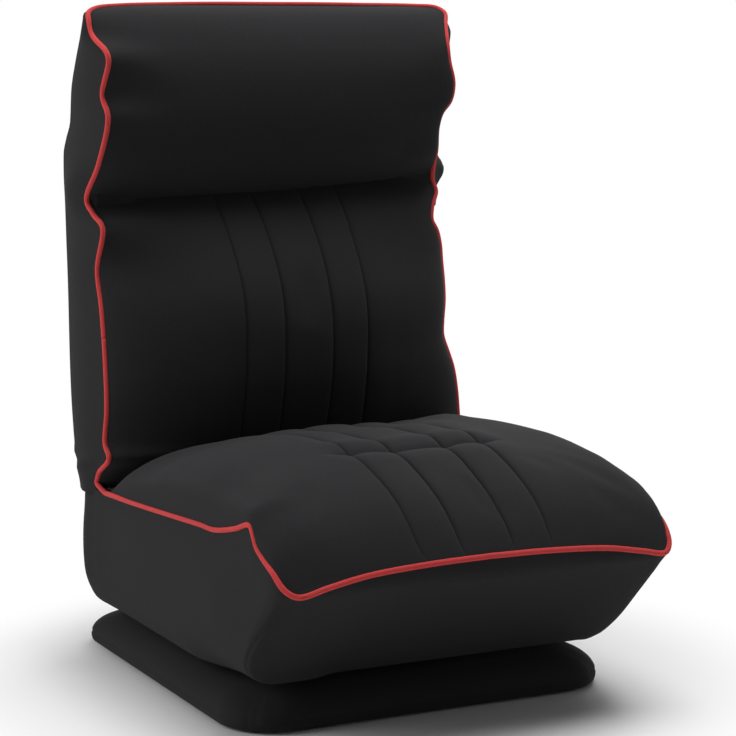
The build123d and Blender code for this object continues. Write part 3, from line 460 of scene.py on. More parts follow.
# Distance of the puffs from the tuck, and the height and reach of each
TUCK_PUFF_AT = 30
TUCK_REAR_PUFF = (4, 22)
TUCK_FRONT_PUFF = (2, 24)
SEAT_SEED = 3
SEAT_UNEVEN = 1.5
SEAT_UNEVEN_WAVELENGTH = 170
UNEVEN_FROM = (-325, -290)
UNEVEN_TO = (150, 190)


def seat_surface(s, y, sewn=True):
    """Seat top over places across and depths, with its seams and tuck if sewn."""
    a = np.abs(s)
    on_left = s < 0
    to_right = np.clip((s - SHOULDER_FROM) / (1 - SHOULDER_FROM), 0, 1) ** 2
    rows = []
    for depth in y:
        left = left_rim_at(min(depth, HIP_Y))
        right = right_rim_at(min(depth, HIP_Y))
        behind = depth > HIP_Y
        half = DECK_HALF if behind else np.where(on_left, -left[0], right[0])
        low = DECK_Z if behind else np.where(on_left, left[2], right[2])
        square = fade(depth, *CROWN_SQUARES)
        flat = fade(depth, *LEFT_FLATTENS)
        power = FRONT_POWER + square * np.where(on_left, LEFT_POWER - LEFT_FLAT_POWER * flat, RIGHT_POWER)
        root = 1 + square * np.where(on_left, SIDE_ROOT - LEFT_FLAT_ROOT * flat, SIDE_ROOT)
        lift = np.maximum(1 - a**power, 0) ** (1 / root)
        place = depth - SIDE_REACH * a**3 * fade(depth, *SIDE_REACH_BETWEEN)
        high = seat_line(place) + (shoulder_line(place) - seat_line(place)) * to_right
        z = low + (high - low) * lift
        calm = fade(depth, *SWELL_FROM) * (1 - fade(depth, *SWELL_TO))
        swell = np.where(on_left, *SIDE_SWELL) * bump(a, SIDE_SWELL_AT, SIDE_SWELL_REACH) * calm
        if sewn:
            on_top = fade(depth, *SEAMS_FRONT) * (1 - fade(depth, *SEAMS_REAR))
            z = z + channel(s * SEAT_HALF, SEAT_PUFF) * on_top
        rows.append(np.stack([s * half + np.sign(s) * swell, np.full_like(s, depth), z], axis=1))
    p = np.array(rows)
    if not sewn:
        return p
    # Tuck sewn across the seat, with a small puff before it and a larger one behind it
    from_tuck = p[..., 1] - (TUCK_Y - TUCK_WAVE * np.cos(p[..., 0] / TUCK_WAVELENGTH))
    p[..., 2] += (1 - fade(np.abs(p[..., 0]), *TUCK_END)) * (
        -TUCK_DEPTH * np.exp(-np.abs(from_tuck) / TUCK_SHARPNESS)
        + TUCK_REAR_PUFF[0] * bump(from_tuck, TUCK_PUFF_AT, TUCK_REAR_PUFF[1])
        + TUCK_FRONT_PUFF[0] * bump(from_tuck, -TUCK_PUFF_AT, TUCK_FRONT_PUFF[1])
    )
    calm = fade(p[..., 1], *UNEVEN_FROM) * (1 - fade(p[..., 1], *UNEVEN_TO))
    uneven = unevenness(p, SEAT_UNEVEN_WAVELENGTH, SEAT_SEED)
    p[..., 2] += SEAT_UNEVEN * uneven * calm * (1 - a[None, :] ** 6)
    return p


SEAT_SHEET = np.linspace(SEAT_FRONT, 130, 56)
seat_across = across(SEAT_HALF)
seat_along = np.unique(stretches(
    (SEAT_FRONT, -300, 9), (-294, 118, 62), (-184, -132, 22), (122, 196, 16), (210, 284, 6)
))
puffed = inflated(lambda s, y: seat_surface(s, y, sewn=False), SIM_ACROSS, SEAT_SHEET)
seat_top = skin("seat_top", seat_surface(seat_across, seat_along) + puffed(seat_across, seat_along))

# Seat box: sides, undercut front, rear wall and the turned-under bottom edge (lengths in mm)
RIM_STEP = 3.5
SEAT_MIDDLE_Y = 30
NORMAL_ROUNDS = 20
SEAT_BOTTOM = 54
SEAT_SHOULDER = 205
SEAT_HEIGHT = 135
SEAT_UNDERCUT = 150
SEAT_OPENING = 146
OPENING_DROP = 0.5
UNDER_SHARES = (0.12, 0.4, 0.75, 1.0)
UNDERCUT_FROM = 60
FRONT_EASE = 1.5
LEFT_BLUNT = 0.1
BLUNT_BETWEEN = (120, 220)
SIDE_CURL = 50
SIDE_DRAW = 26
LEFT_CURL = 80
LEFT_DRAW = 34
LEFT_BETWEEN = (100, 220)
LEFT_DRAW_BETWEEN = (40, 165)
FRONT_CURL = 14
FRONT_DRAW = 8
REAR_DRAW = 30
REAR_SLANT = 20
SIDE_BULGE = 5
FRONT_BULGE = 1
BULGE_SPAN = 1.15
FRONT_CALM = 0.9
NEAR_FRONT = (150, 300)
SEAT_CORNERS = ((-230, -326), (230, -327))
CORNER_SEAM_DRIFT = 55
CORNER_SEAM_DEPTH = 2.6
CORNER_SEAM_SHARPNESS = 3
CORNER_SEAM_FROM = (0, 0.1)
CORNER_SEAM_TO = (0.85, 1)
WALL_TURN = 0.6
WALL_ROWS = 14
BOX_SEEDS = (11, 12)
BOX_UNEVEN = 1.5
BOX_UNEVEN_WAVELENGTH = 200
CALM_ABOVE_BOTTOM = 12
CALM_ROWS_AT_RIM = 5


def seat_rim_loop():
    """Closed rim of the seat box, starting at the middle of the rear."""
    left = smooth_path(REAR_RIM + LEFT_RIM, RIM_STEP)
    right = smooth_path([(-x, y, z) for x, y, z in REAR_RIM] + RIGHT_RIM, RIM_STEP)
    return np.vstack([left, right[::-1][1:-1]])


def outward(rim):
    """Smoothed outward direction, in plan, at each point of a closed loop."""
    tangent = np.roll(rim, -1, axis=0) - np.roll(rim, 1, axis=0)
    normal = np.stack([-tangent[:, 1], tangent[:, 0]], axis=1)
    for _ in range(NORMAL_ROUNDS):
        normal = (np.roll(normal, 1, axis=0) + 2 * normal + np.roll(normal, -1, axis=0)) / 4
    normal /= np.linalg.norm(normal, axis=1)[:, None]
    return normal * np.sign(np.sum(normal * (rim[:, :2] - (0, SEAT_MIDDLE_Y)), axis=1))[:, None]


def seat_box_surface():
    """Rows of the seat box from its rim down the walls and in to the swivel's opening."""
    rim = seat_rim_loop()
    normal = outward(rim)
    front = np.clip(-normal[:, 1], 0, 1) ** FRONT_EASE
    rear = np.clip(normal[:, 1], 0, 1)
    to_front = fade(-rim[:, 1], *NEAR_FRONT)
    swell = (SIDE_BULGE + (FRONT_BULGE - SIDE_BULGE) * front) * (1 - FRONT_CALM * to_front)
    ahead = np.clip((-rim[:, 1] - UNDERCUT_FROM) / (-SEAT_FRONT - UNDERCUT_FROM), 0, 1) ** FRONT_EASE
    left = fade(-rim[:, 0], *LEFT_BETWEEN)
    blunt = 1 - LEFT_BLUNT * fade(-rim[:, 0], *BLUNT_BETWEEN)
    run = run_along(rim)
    corners = [run[np.argmin(np.hypot(rim[:, 0] - x, rim[:, 1] - y))] for x, y in SEAT_CORNERS]
    turn = WALL_TURN + (1 - WALL_TURN) * np.sin(np.linspace(0, math.pi / 2, WALL_ROWS))
    rows = []
    for v in np.concatenate([np.linspace(0, WALL_TURN, WALL_ROWS), turn[1:]]):
        z = rim[:, 2] + (SEAT_BOTTOM - rim[:, 2]) * v
        height = z - SEAT_BOTTOM
        side_curl = curl(height, SIDE_CURL)
        seam = sum(
            np.exp(-np.abs(run - corner - way * CORNER_SEAM_DRIFT * v) / CORNER_SEAM_SHARPNESS)
            for corner, way in zip(corners, (-1, 1))
        )
        groove = CORNER_SEAM_DEPTH * seam * fade(v, *CORNER_SEAM_FROM) * (1 - fade(v, *CORNER_SEAM_TO))
        down = np.clip((SEAT_SHOULDER - z) / (SEAT_SHOULDER - SEAT_BOTTOM) * BULGE_SPAN, 0, 1)
        bulge = swell * np.sin(math.pi * down) - groove
        under = SEAT_UNDERCUT * np.clip(1 - height / SEAT_HEIGHT, 0, 1) * ahead * blunt
        y = rim[:, 1] + normal[:, 1] * bulge + under + FRONT_DRAW * curl(height, FRONT_CURL) * front
        y = y - rear * (REAR_SLANT * v + REAR_DRAW * side_curl)
        x = rim[:, 0] * (1 - SIDE_DRAW / SEAT_HALF * side_curl) + normal[:, 0] * bulge
        x = x + LEFT_DRAW * curl(height, LEFT_CURL) * left * fade(-y, *LEFT_DRAW_BETWEEN)
        rows.append(np.stack([x, y, z], axis=1))
    bottom = rows[-1]
    ring = ring_round_swivel(bottom, SEAT_OPENING, SEAT_BOTTOM - OPENING_DROP)
    for share in UNDER_SHARES:
        rows.append(bottom + (ring - bottom) * share)
    p = np.array(rows)
    free = fade(p[..., 2], SEAT_BOTTOM, SEAT_BOTTOM + CALM_ABOVE_BOTTOM)
    free = free * fade(np.arange(len(p)), 0, CALM_ROWS_AT_RIM)[:, None]
    for axis, seed in enumerate(BOX_SEEDS):
        p[..., axis] += BOX_UNEVEN * unevenness(p, BOX_UNEVEN_WAVELENGTH, seed) * free
    return p


seat_box = skin("seat_box", seat_box_surface(), close=True)

# Front cushions of the back and the headrest: crowned front, flat rear, closed (lengths in mm)
CUSHION_HALF = 245
CUSHION_LEAST = 2
CUSHION_REAR_SHARE = 0.97
CUSHION_SIM_ROWS = 48
CUSHION_SEED = 5
CUSHION_UNEVEN = 1.2
CUSHION_UNEVEN_WAVELENGTH = 140
# The crease between the two cushions rises from the left over the middle to the right
CREASE_Z = 560
CREASE_REACH = 45
CREASE_RISE = (5, 11, 26)
BACK_PUFF = 2.6
BACK_SEAMS_FROM = (215, 260)
BACK_SEAMS_TO = (545, 566)
BRACKET_PLACES = (0.78, 0.975)
BRACKET_FRONT = 235
BRACKET_TOP = 640
BACK_REAR_Y = 228
BACK_REAR_Z = 243
BACK_REAR_LEAN = 0.078
HEAD_REAR_Y = 262
HEAD_REAR_DRAW = 14
HEAD_REAR_BETWEEN = (600, 640)
HEAD_REAR_GAP = 3
# Power and root of each cushion's crown
BACK_CROWN = (2.3, 1.5)
HEAD_CROWN = (4.0, 2.0)


def cushion_face(s, heights, front, power, root, channels):
    """Front of a cushion between the piped edges, over places across and heights."""
    a = np.abs(s)
    lift = np.maximum(1 - a**power, 0) ** (1 / root)
    over_bracket = (a > BRACKET_PLACES[0]) & (a < BRACKET_PLACES[1])
    rows = []
    for z in heights:
        near = bump(z, CREASE_Z, CREASE_REACH)
        left = left_at(z + CREASE_RISE[0] * near)
        right = right_at(z + CREASE_RISE[2] * near)
        raised = np.interp(s, (-1, 0, 1), CREASE_RISE) * near
        side_x = np.where(s < 0, -left[0], right[0])
        x = s * (CUSHION_HALF + (side_x - CUSHION_HALF) * a**3)
        edge = left[1] + (right[1] - left[1]) * (s + 1) / 2
        y = edge + (front(z) - edge) * lift
        if z < BRACKET_TOP:
            y = np.where(over_bracket, np.minimum(y, BRACKET_FRONT), y)
        if channels:
            calm = fade(z, *BACK_SEAMS_FROM) * (1 - fade(z, *BACK_SEAMS_TO))
            y = y - channel(s * CUSHION_HALF, BACK_PUFF) * calm
        face = np.stack([x, y, z + raised], axis=1)
        uneven = unevenness(face, CUSHION_UNEVEN_WAVELENGTH, CUSHION_SEED)
        face[:, 1] += CUSHION_UNEVEN * uneven * (1 - a**4)
        rows.append(face)
    return np.array(rows)


def cushion(name, heights, front, power, root, channels, base, joined_top=False):
    """Closed cushion: its front blown up by the cloth simulation, a flat rear at the given depth."""
    s = across(CUSHION_HALF)
    puffed = inflated(
        lambda place, z: cushion_face(place, z, front, power, root, False),
        SIM_ACROSS, np.linspace(heights[0], heights[-1], CUSHION_SIM_ROWS),
    )
    face = cushion_face(s, heights, front, power, root, channels) + puffed(s, heights)
    rear = face[:, ::-1].copy()
    rear[..., 1] = np.maximum(rear[..., 1] + CUSHION_LEAST, np.array([base(z) for z in heights])[:, None])
    rear[..., 0] *= CUSHION_REAR_SHARE
    if joined_top:
        rear[-1] = face[-1, ::-1]
    return skin(name, np.concatenate([face, rear], axis=1), close=True, caps=(True, not joined_top))


def back_rear(z):
    """Depth of the back cushion's rear, which leans back with height."""
    return BACK_REAR_Y + BACK_REAR_LEAN * (z - BACK_REAR_Z)


def head_rear(z):
    """Depth of the headrest cushion's rear: farther forward near the neck, and always inside the shell."""
    flat = HEAD_REAR_Y - HEAD_REAR_DRAW * (1 - fade(z, *HEAD_REAR_BETWEEN))
    return min(flat, rear_line(z) - HEAD_REAR_GAP)


back_heights = stretches((213.5, 520, 56), (525, 568, 16))
back_front_panel = cushion("back_front", back_heights, back_line, *BACK_CROWN, True, back_rear)
head_heights = stretches((552, 600, 16), (606, 780, 36), (783, 805, 10))
head_front_panel = cushion(
    "headrest_front", head_heights, head_line, *HEAD_CROWN, False, head_rear, joined_top=True
)

# Shell of side bands and rear panel, from inside the seat box to the headrest's top (lengths in mm)
BAND_PLACES = np.linspace(0, 1, 14)
CORNER_TURN = np.linspace(0, math.pi / 2, 8)[1:]
PANEL_PLACES = np.linspace(0, 1, 16)[1:]
PANEL_CROWN = 3
BAND_BULGE = 5
BAND_WIDENS = (0.1, 0.9)
REAR_ROUND = 14
ROUND_SHARE = 0.45
LEAST_DEPTH = 0.5
TOP_CLOSES = (770, 806)
HIP_HALF = 256
HIP_DRAW = 4
HIP_WIDENS = (200, 240)
REAR_HALF = 253
REAR_NARROWS = (300, 480)
WRINKLE = 1.8
WRINKLE_PITCH = 4.5
WRINKLE_LEAN = 9
WRINKLE_Z = 238
WRINKLE_REACH = 14
WRINKLE_STARTS = (0, 0.25)
NECK_BULGE = 4
NECK_BULGE_Z = 588
NECK_BULGE_REACH = 23
NECK_SOONER = 0.5
BRACKET_SIDE = 236.5
BRACKET_FLARE = 0.15
BRACKET_Y = (232, 239)
BRACKET_FROM = (530, 547)
BRACKET_TO = (657, 674)


def shell_half(edge, z):
    """Half of a row of the shell: from the piped edge along the band and round the corner to the middle."""
    rear = rear_line(z)
    out = abs(edge[0])
    depth = max(rear - edge[1], LEAST_DEPTH)
    radius = min(REAR_ROUND, depth * ROUND_SHARE)
    side = BAND_PLACES
    top = 1 - fade(z, *TOP_CLOSES)
    neck = bump(z, NECK_BULGE_Z, NECK_BULGE_REACH)
    fold = WRINKLE * np.sin(z / WRINKLE_PITCH + WRINKLE_LEAN * side) * bump(z, WRINKLE_Z, WRINKLE_REACH)
    fold = fold * fade(side, *WRINKLE_STARTS)
    half = HIP_HALF - HIP_DRAW * (1 - fade(z, *HIP_WIDENS)) + (REAR_HALF - HIP_HALF) * fade(z, *REAR_NARROWS)
    widens = fade(side, BAND_WIDENS[0] * (1 - neck), BAND_WIDENS[1] - NECK_SOONER * neck)
    wide = out + (half - out) * widens * top
    x = wide + (BAND_BULGE + NECK_BULGE * neck) * np.sin(math.pi * side) * top + fold
    y = edge[1] + (depth - radius) * side
    # The band passes outside the neck bracket
    at_bracket = fade(z, *BRACKET_FROM) * (1 - fade(z, *BRACKET_TO))
    at_bracket = at_bracket * fade(y, min(edge[1], BRACKET_Y[0]), BRACKET_Y[1])
    x = np.maximum(x, out + (BRACKET_SIDE + BRACKET_FLARE * (y - BRACKET_Y[1]) - out) * at_bracket)
    corner_x = x[-1] - radius + radius * np.cos(CORNER_TURN)
    corner_y = y[-1] + radius * np.sin(CORNER_TURN)
    panel_x = corner_x[-1] * (1 - PANEL_PLACES)
    panel_y = corner_y[-1] + PANEL_CROWN * np.sin(PANEL_PLACES * math.pi / 2)
    all_x = np.concatenate([x, corner_x, panel_x])
    all_y = np.concatenate([y, corner_y, panel_y])
    return np.stack([math.copysign(1, edge[0]) * all_x, all_y, np.full(len(all_x), z)], axis=1)


def shell_rows(heights):
    """Rows of the shell from the left edge round the rear to the right edge."""
    rows = []
    for z in heights:
        left = shell_half(left_at(z), z)
        right = shell_half(right_at(z), z)
        rows.append(np.vstack([left, right[::-1][1:]]))
    return np.array(rows)


lower_heights = np.linspace(200, SPLIT_Z, 40)
lower_shell = skin("lower_shell", shell_rows(lower_heights))
upper_heights = stretches((SPLIT_Z, 540, 26), (545, 612, 16), (618, 770, 26), (774, 805, 10))
upper_shell = skin("upper_shell", shell_rows(upper_heights))

# Fold of the cover at the hip: a flat sheet under the back, listed as riding on both the seat and the back
# (mm)
FOLD_Z = 210.8
FOLD_Y = (190, 209)
FOLD_HALF = 244
FOLD_COLUMNS = 62
FOLD_ROWS = 16
fold_x, fold_y = np.meshgrid(
    np.linspace(-FOLD_HALF, FOLD_HALF, FOLD_COLUMNS), np.linspace(*FOLD_Y, FOLD_ROWS)
)
hip_fold = skin("hip_fold", np.stack([fold_x, fold_y, np.full_like(fold_x, FOLD_Z)], axis=-1))

# Red cord: a lower run round the seat and up to half of the back, and an upper run over the headrest (mm)
CORD_R = 3.2
CORD_LAP = 2
CORD_TOP = [(x, 250, 806.5) for x in (-70, 0, 70)]


def upper_cord():
    """Path of the cord from the middle of the back, over the headrest and down the other side."""
    left = left_upper[left_upper[:, 2] > SPLIT_Z - CORD_LAP]
    right = right_upper[right_upper[:, 2] > SPLIT_Z - CORD_LAP]
    return smooth_path(np.vstack([left[::-1], CORD_TOP, right]), PATH_STEP)


def lower_cord():
    """Path of the cord from the middle of the back, round the seat's front and up the other side."""
    left = left_upper[left_upper[:, 2] < SPLIT_Z + CORD_LAP]
    right = right_upper[right_upper[:, 2] < SPLIT_Z + CORD_LAP]
    return smooth_path(np.vstack([left, left_rim, right_rim[::-1][1:], right[::-1]]), PATH_STEP)


piping_upper = cord_tube("piping_upper", upper_cord(), CORD_R)
piping_lower = cord_tube("piping_lower", lower_cord(), CORD_R)

# Base: fabric drawn over a low rounded plate (mm)
BASE_HALF = (245, 251)
# Rear right, rear left, front left and front right corner
BASE_CORNERS = (34, 34, 66, 70)
BASE_CORNER_POINTS = 17
BASE_COUNT = 640
# How far in and how high the lower edge runs
BASE_FOOT = [(4.0, 2.6), (2.4, 3.4), (1.0, 5.2), (0.3, 8)]
BASE_WIDEST = 12
BASE_EDGE = 44
BASE_EDGE_ROWS = 30
BASE_LIP = 9
BASE_TOP = 42
BASE_OPENING = 92
BASE_SHARES = (0.2, 0.5, 0.8, 1.0)
BASE_SEED = 21
BASE_UNEVEN = 0.8
BASE_UNEVEN_WAVELENGTH = 120
BASE_UNEVEN_FROM = (20, 40)
HEM_Z = 15
HEM_DEPTH = 1.3
HEM_REACH = 1.6
BASE_DARTS = ((-213, -221), (213, -221))
DART_LAP = 9
DART_DEPTH = 2.4
DART_SHARPNESS = 1.8
DART_STARTS = (5, 9)


def base_surface():
    """Rows of the base from its lower edge up the rounded side and in to the swivel's opening."""
    outline = []
    for cx, cy, start, bend in zip((1, -1, -1, 1), (1, 1, -1, -1), (0, 90, 180, 270), BASE_CORNERS):
        angle = np.radians(np.linspace(start, start + 90, BASE_CORNER_POINTS))
        outline.append(np.stack([
            cx * (BASE_HALF[0] - bend) + bend * np.cos(angle),
            cy * (BASE_HALF[1] - bend) + bend * np.sin(angle),
        ], axis=1))
    corners = np.vstack(outline)
    closed = np.vstack([corners, corners[:1]])
    along = run_along(closed)
    places = np.linspace(0, along[-1], BASE_COUNT, endpoint=False)
    plan = points_at(closed, along, places)
    tangent = np.roll(plan, -1, axis=0) - np.roll(plan, 1, axis=0)
    normal = np.stack([tangent[:, 1], -tangent[:, 0]], axis=1)
    normal /= np.linalg.norm(normal, axis=1)[:, None]
    dart = np.zeros(len(plan))
    for x, y in BASE_DARTS:
        middle = places[np.argmin(np.hypot(plan[:, 0] - x, plan[:, 1] - y))]
        for lap in (-DART_LAP / 2, DART_LAP / 2):
            dart += np.exp(-np.abs(places - middle - lap) / DART_SHARPNESS)
    rise = BASE_TOP - BASE_WIDEST
    profile = BASE_FOOT + [
        (BASE_EDGE * (1 - math.cos(t)), BASE_WIDEST + rise * math.sin(t))
        for t in np.linspace(0, math.pi / 2, BASE_EDGE_ROWS)
    ] + [(BASE_EDGE + BASE_LIP, BASE_TOP)]
    rows = []
    for inset, z in profile:
        pressed = HEM_DEPTH * bump(z, HEM_Z, HEM_REACH) + DART_DEPTH * dart * fade(z, *DART_STARTS)
        flat = plan * (1 - inset / BASE_HALF[1]) - normal * pressed[:, None]
        rows.append(np.column_stack([flat[:, 0], flat[:, 1] + SWIVEL_Y, np.full(len(flat), z)]))
    inner = rows[-1]
    ring = ring_round_swivel(inner, BASE_OPENING, BASE_TOP)
    for share in BASE_SHARES:
        rows.append(inner + (ring - inner) * share)
    p = np.array(rows)
    uneven = unevenness(p, BASE_UNEVEN_WAVELENGTH, BASE_SEED)
    p[..., 2] += BASE_UNEVEN * uneven * fade(p[..., 2], *BASE_UNEVEN_FROM)
    return p


base_skin = skin("base_skin", base_surface(), close=True)

# Materials
SHEEN_ROUGHNESS = 0.45
CLOTH_SPECULAR = 0.1
FUZZ_PER_WEAVE = 0.35
FUZZ_DETAIL = 4
FUZZ_RELIEF = 0.6
FUZZ_SHADE = 0.7
CLOTH_RELIEF = 0.0006
CLOTH_STREAK = 0.12
STREAK_SCALE = 7
STREAK_DETAIL = 3
CLOTH_ROUGH_SPAN = 0.06
GRAIN_SCALE = 240
GRAIN_DETAIL = 5
GRAIN_SHADES = (0.85, 1.12)
GRAIN_ROUGH_SPAN = 0.1
LEAST_ROUGHNESS = 0.05
GRAIN_BUMP = 0.15
GRAIN_RELIEF = 0.0004


def fabric(name, colour, roughness, sheen, cell, relief_strength):
    """Matte woven cloth: fine weave and fuzz in the bump, soft variation in the colour."""
    material = bpy.data.materials.new(name)
    material.use_nodes = True
    nodes, links = material.node_tree.nodes, material.node_tree.links
    shader = nodes["Principled BSDF"]
    shader.inputs["Sheen Weight"].default_value = sheen
    shader.inputs["Sheen Roughness"].default_value = SHEEN_ROUGHNESS
    shader.inputs["Specular IOR Level"].default_value = CLOTH_SPECULAR
    place = nodes.new("ShaderNodeTexCoord")
    weave = nodes.new("ShaderNodeTexVoronoi")
    weave.inputs["Scale"].default_value = 1 / cell
    fuzz = nodes.new("ShaderNodeTexNoise")
    fuzz.inputs["Scale"].default_value = FUZZ_PER_WEAVE / cell
    fuzz.inputs["Detail"].default_value = FUZZ_DETAIL
    wide = nodes.new("ShaderNodeTexNoise")
    wide.inputs["Scale"].default_value = STREAK_SCALE
    wide.inputs["Detail"].default_value = STREAK_DETAIL
    for texture in (weave, fuzz, wide):
        links.new(place.outputs["Object"], texture.inputs["Vector"])
    height = nodes.new("ShaderNodeMath")
    height.operation = "MULTIPLY_ADD"
    height.inputs[1].default_value = FUZZ_RELIEF
    links.new(fuzz.outputs["Fac"], height.inputs[0])
    links.new(weave.outputs["Distance"], height.inputs[2])
    relief = nodes.new("ShaderNodeBump")
    relief.inputs["Strength"].default_value = relief_strength
    relief.inputs["Distance"].default_value = CLOTH_RELIEF
    links.new(height.outputs[0], relief.inputs["Height"])
    links.new(relief.outputs["Normal"], shader.inputs["Normal"])
    shade = nodes.new("ShaderNodeMix")
    shade.data_type = "RGBA"
    shade.inputs["A"].default_value = (*[c * (1 - CLOTH_STREAK) for c in colour], 1)
    shade.inputs["B"].default_value = (*[c * (1 + CLOTH_STREAK) for c in colour], 1)
    links.new(wide.outputs["Fac"], shade.inputs["Factor"])
    dark = nodes.new("ShaderNodeMix")
    dark.data_type = "RGBA"
    dark.inputs["A"].default_value = (*[c * FUZZ_SHADE for c in colour], 1)
    links.new(shade.outputs["Result"], dark.inputs["B"])
    links.new(fuzz.outputs["Fac"], dark.inputs["Factor"])
    links.new(dark.outputs["Result"], shader.inputs["Base Color"])
    rough = nodes.new("ShaderNodeMapRange")
    rough.inputs["To Min"].default_value = roughness - CLOTH_ROUGH_SPAN
    rough.inputs["To Max"].default_value = min(1.0, roughness + CLOTH_ROUGH_SPAN)
    links.new(fuzz.outputs["Fac"], rough.inputs["Value"])
    links.new(rough.outputs["Result"], shader.inputs["Roughness"])
    return material


def metal(name, colour, roughness, metallic=1.0):
    """Metal or moulded surface with fine grain in roughness and relief."""
    material = bpy.data.materials.new(name)
    material.use_nodes = True
    nodes, links = material.node_tree.nodes, material.node_tree.links
    shader = nodes["Principled BSDF"]
    shader.inputs["Metallic"].default_value = metallic
    place = nodes.new("ShaderNodeTexCoord")
    grain = nodes.new("ShaderNodeTexNoise")
    grain.inputs["Scale"].default_value = GRAIN_SCALE
    grain.inputs["Detail"].default_value = GRAIN_DETAIL
    links.new(place.outputs["Object"], grain.inputs["Vector"])
    tone = nodes.new("ShaderNodeMix")
    tone.data_type = "RGBA"
    tone.inputs["A"].default_value = (*[c * GRAIN_SHADES[0] for c in colour], 1)
    tone.inputs["B"].default_value = (*[min(1, c * GRAIN_SHADES[1]) for c in colour], 1)
    links.new(grain.outputs["Fac"], tone.inputs["Factor"])
    links.new(tone.outputs["Result"], shader.inputs["Base Color"])
    rough = nodes.new("ShaderNodeMapRange")
    rough.inputs["To Min"].default_value = max(LEAST_ROUGHNESS, roughness - GRAIN_ROUGH_SPAN)
    rough.inputs["To Max"].default_value = min(1.0, roughness + GRAIN_ROUGH_SPAN)
    links.new(grain.outputs["Fac"], rough.inputs["Value"])
    links.new(rough.outputs["Result"], shader.inputs["Roughness"])
    relief = nodes.new("ShaderNodeBump")
    relief.inputs["Strength"].default_value = GRAIN_BUMP
    relief.inputs["Distance"].default_value = GRAIN_RELIEF
    links.new(grain.outputs["Fac"], relief.inputs["Height"])
    links.new(relief.outputs["Normal"], shader.inputs["Normal"])
    return material


black_cloth = fabric("black_cloth", (0.026, 0.026, 0.028), 0.9, 0.02, 0.0011, 0.35)
# The base cover is the same cloth as the rest; its colour is raised a little as painted light, brightening
# the base where the seat shades it.
base_painted_light = fabric("base_cloth_painted_light", (0.028, 0.028, 0.03), 0.92, 0.02, 0.0011, 0.35)
red_cloth = fabric("red_cord_cloth", (0.78, 0.075, 0.075), 0.75, 0.05, 0.0009, 0.6)
CAD_FINISH = {
    "steel": metal("bare_steel", (0.5, 0.5, 0.5), 0.35),
    "zinc_steel": metal("zinc_steel", (0.62, 0.62, 0.6), 0.3),
    "ball_steel": metal("ball_steel", (0.7, 0.7, 0.7), 0.15),
    "black_tube": metal("black_tube", (0.03, 0.03, 0.03), 0.45, 0.0),
    "feet": metal("foot_rubber", (0.04, 0.04, 0.04), 0.8, 0.0),
    "cage": metal("cage_plastic", (0.5, 0.5, 0.48), 0.5, 0.0),
    "webbing": fabric("belt_webbing", (0.12, 0.12, 0.12), 0.85, 0.05, 0.0016, 0.6),
    "lining": fabric("thin_lining", (0.03, 0.03, 0.03), 0.9, 0.05, 0.0012, 0.4),
    "foam": fabric("pad_foam", (0.7, 0.68, 0.58), 0.95, 0.0, 0.002, 0.5),
    "black_fabric": black_cloth,
    "black_cushion": black_cloth,
    "red_piping": red_cloth,
}
for entry in frame["record"]["subparts"]:
    node = frame["nodes"][entry["node"]]
    node.data.materials.clear()
    node.data.materials.append(CAD_FINISH[entry["material_slot"]])

# Where cloth passes from one body to the next (m)
HIP_START = (0, 0.262, 0.214)
HIP_END = (0, 0.268, 0.262)
NECK_START = (0, 0.258, 0.535)
NECK_END = (0, 0.266, 0.608)
FOLD_START, FOLD_END = [(0, y * MM, FOLD_Z * MM) for y in FOLD_Y]
# Every skin: material, slot, the CAD pieces it stands for and the body or bodies that it rides on
DRESS = [
    (seat_top, black_cloth, "black_cushion", ("seat_cushion", "seat_foam"), ("seat",)),
    (seat_box, black_cloth, "black_fabric", ("seat_cover",), ("seat",)),
    (back_front_panel, black_cloth, "black_cushion", ("back_cushion",),
     ("back", "headrest", NECK_START, NECK_END)),
    (head_front_panel, black_cloth, "black_cushion", ("headrest_cushion",),
     ("back", "headrest", NECK_START, NECK_END)),
    (lower_shell, black_cloth, "black_fabric", ("back_cover", "back_rear_pad"),
     ("seat", "back", HIP_START, HIP_END)),
    (upper_shell, black_cloth, "black_fabric", ("headrest_cover", "headrest_rear_pad"),
     ("back", "headrest", NECK_START, NECK_END)),
    (hip_fold, black_cloth, "black_fabric", (), ("seat", "back", FOLD_START, FOLD_END)),
    (piping_upper, red_cloth, "red_piping", ("headrest_piping",), ("back", "headrest", NECK_START, NECK_END)),
    (piping_lower, red_cloth, "red_piping", ("seat_piping", "back_piping_left", "back_piping_right"),
     ("seat", "back", HIP_START, HIP_END)),
    (base_skin, base_painted_light, "black_fabric", ("base_cover",), ("base",)),
]
for obj, material, slot, stands_for, carrier in DRESS:
    obj.data.materials.append(material)
    if stands_for:
        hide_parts(*stands_for)
    if len(carrier) == 1:
        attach(obj, carrier[0])
    else:
        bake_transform(obj)

# Studio: white world that fills the shadows a little, white floor that shows them near the chair (m)
FILL_LIGHT = 0.12
FLOOR_RADIUS = 6
FLOOR_SIDES = 96
FLOOR_SHADE = 0.9
FLOOR_ROUGHNESS = 0.9
SHADOW_REACH = (0.3, 0.56)
# Name, place, aim, size and power of each lamp
LAMPS = [
    ("top", (0.3, -0.12, 3.0), (0, 0, 0.3), 1.8, 59),
    ("left", (-2.6, 0.8, 1.4), (0, 0, 0.4), 1.5, 32),
    ("rim", (1.5, 1.5, 1.9), (0, 0, 0.5), 1.2, 14),
]

scene = bpy.context.scene
scene.view_settings.view_transform = "Standard"


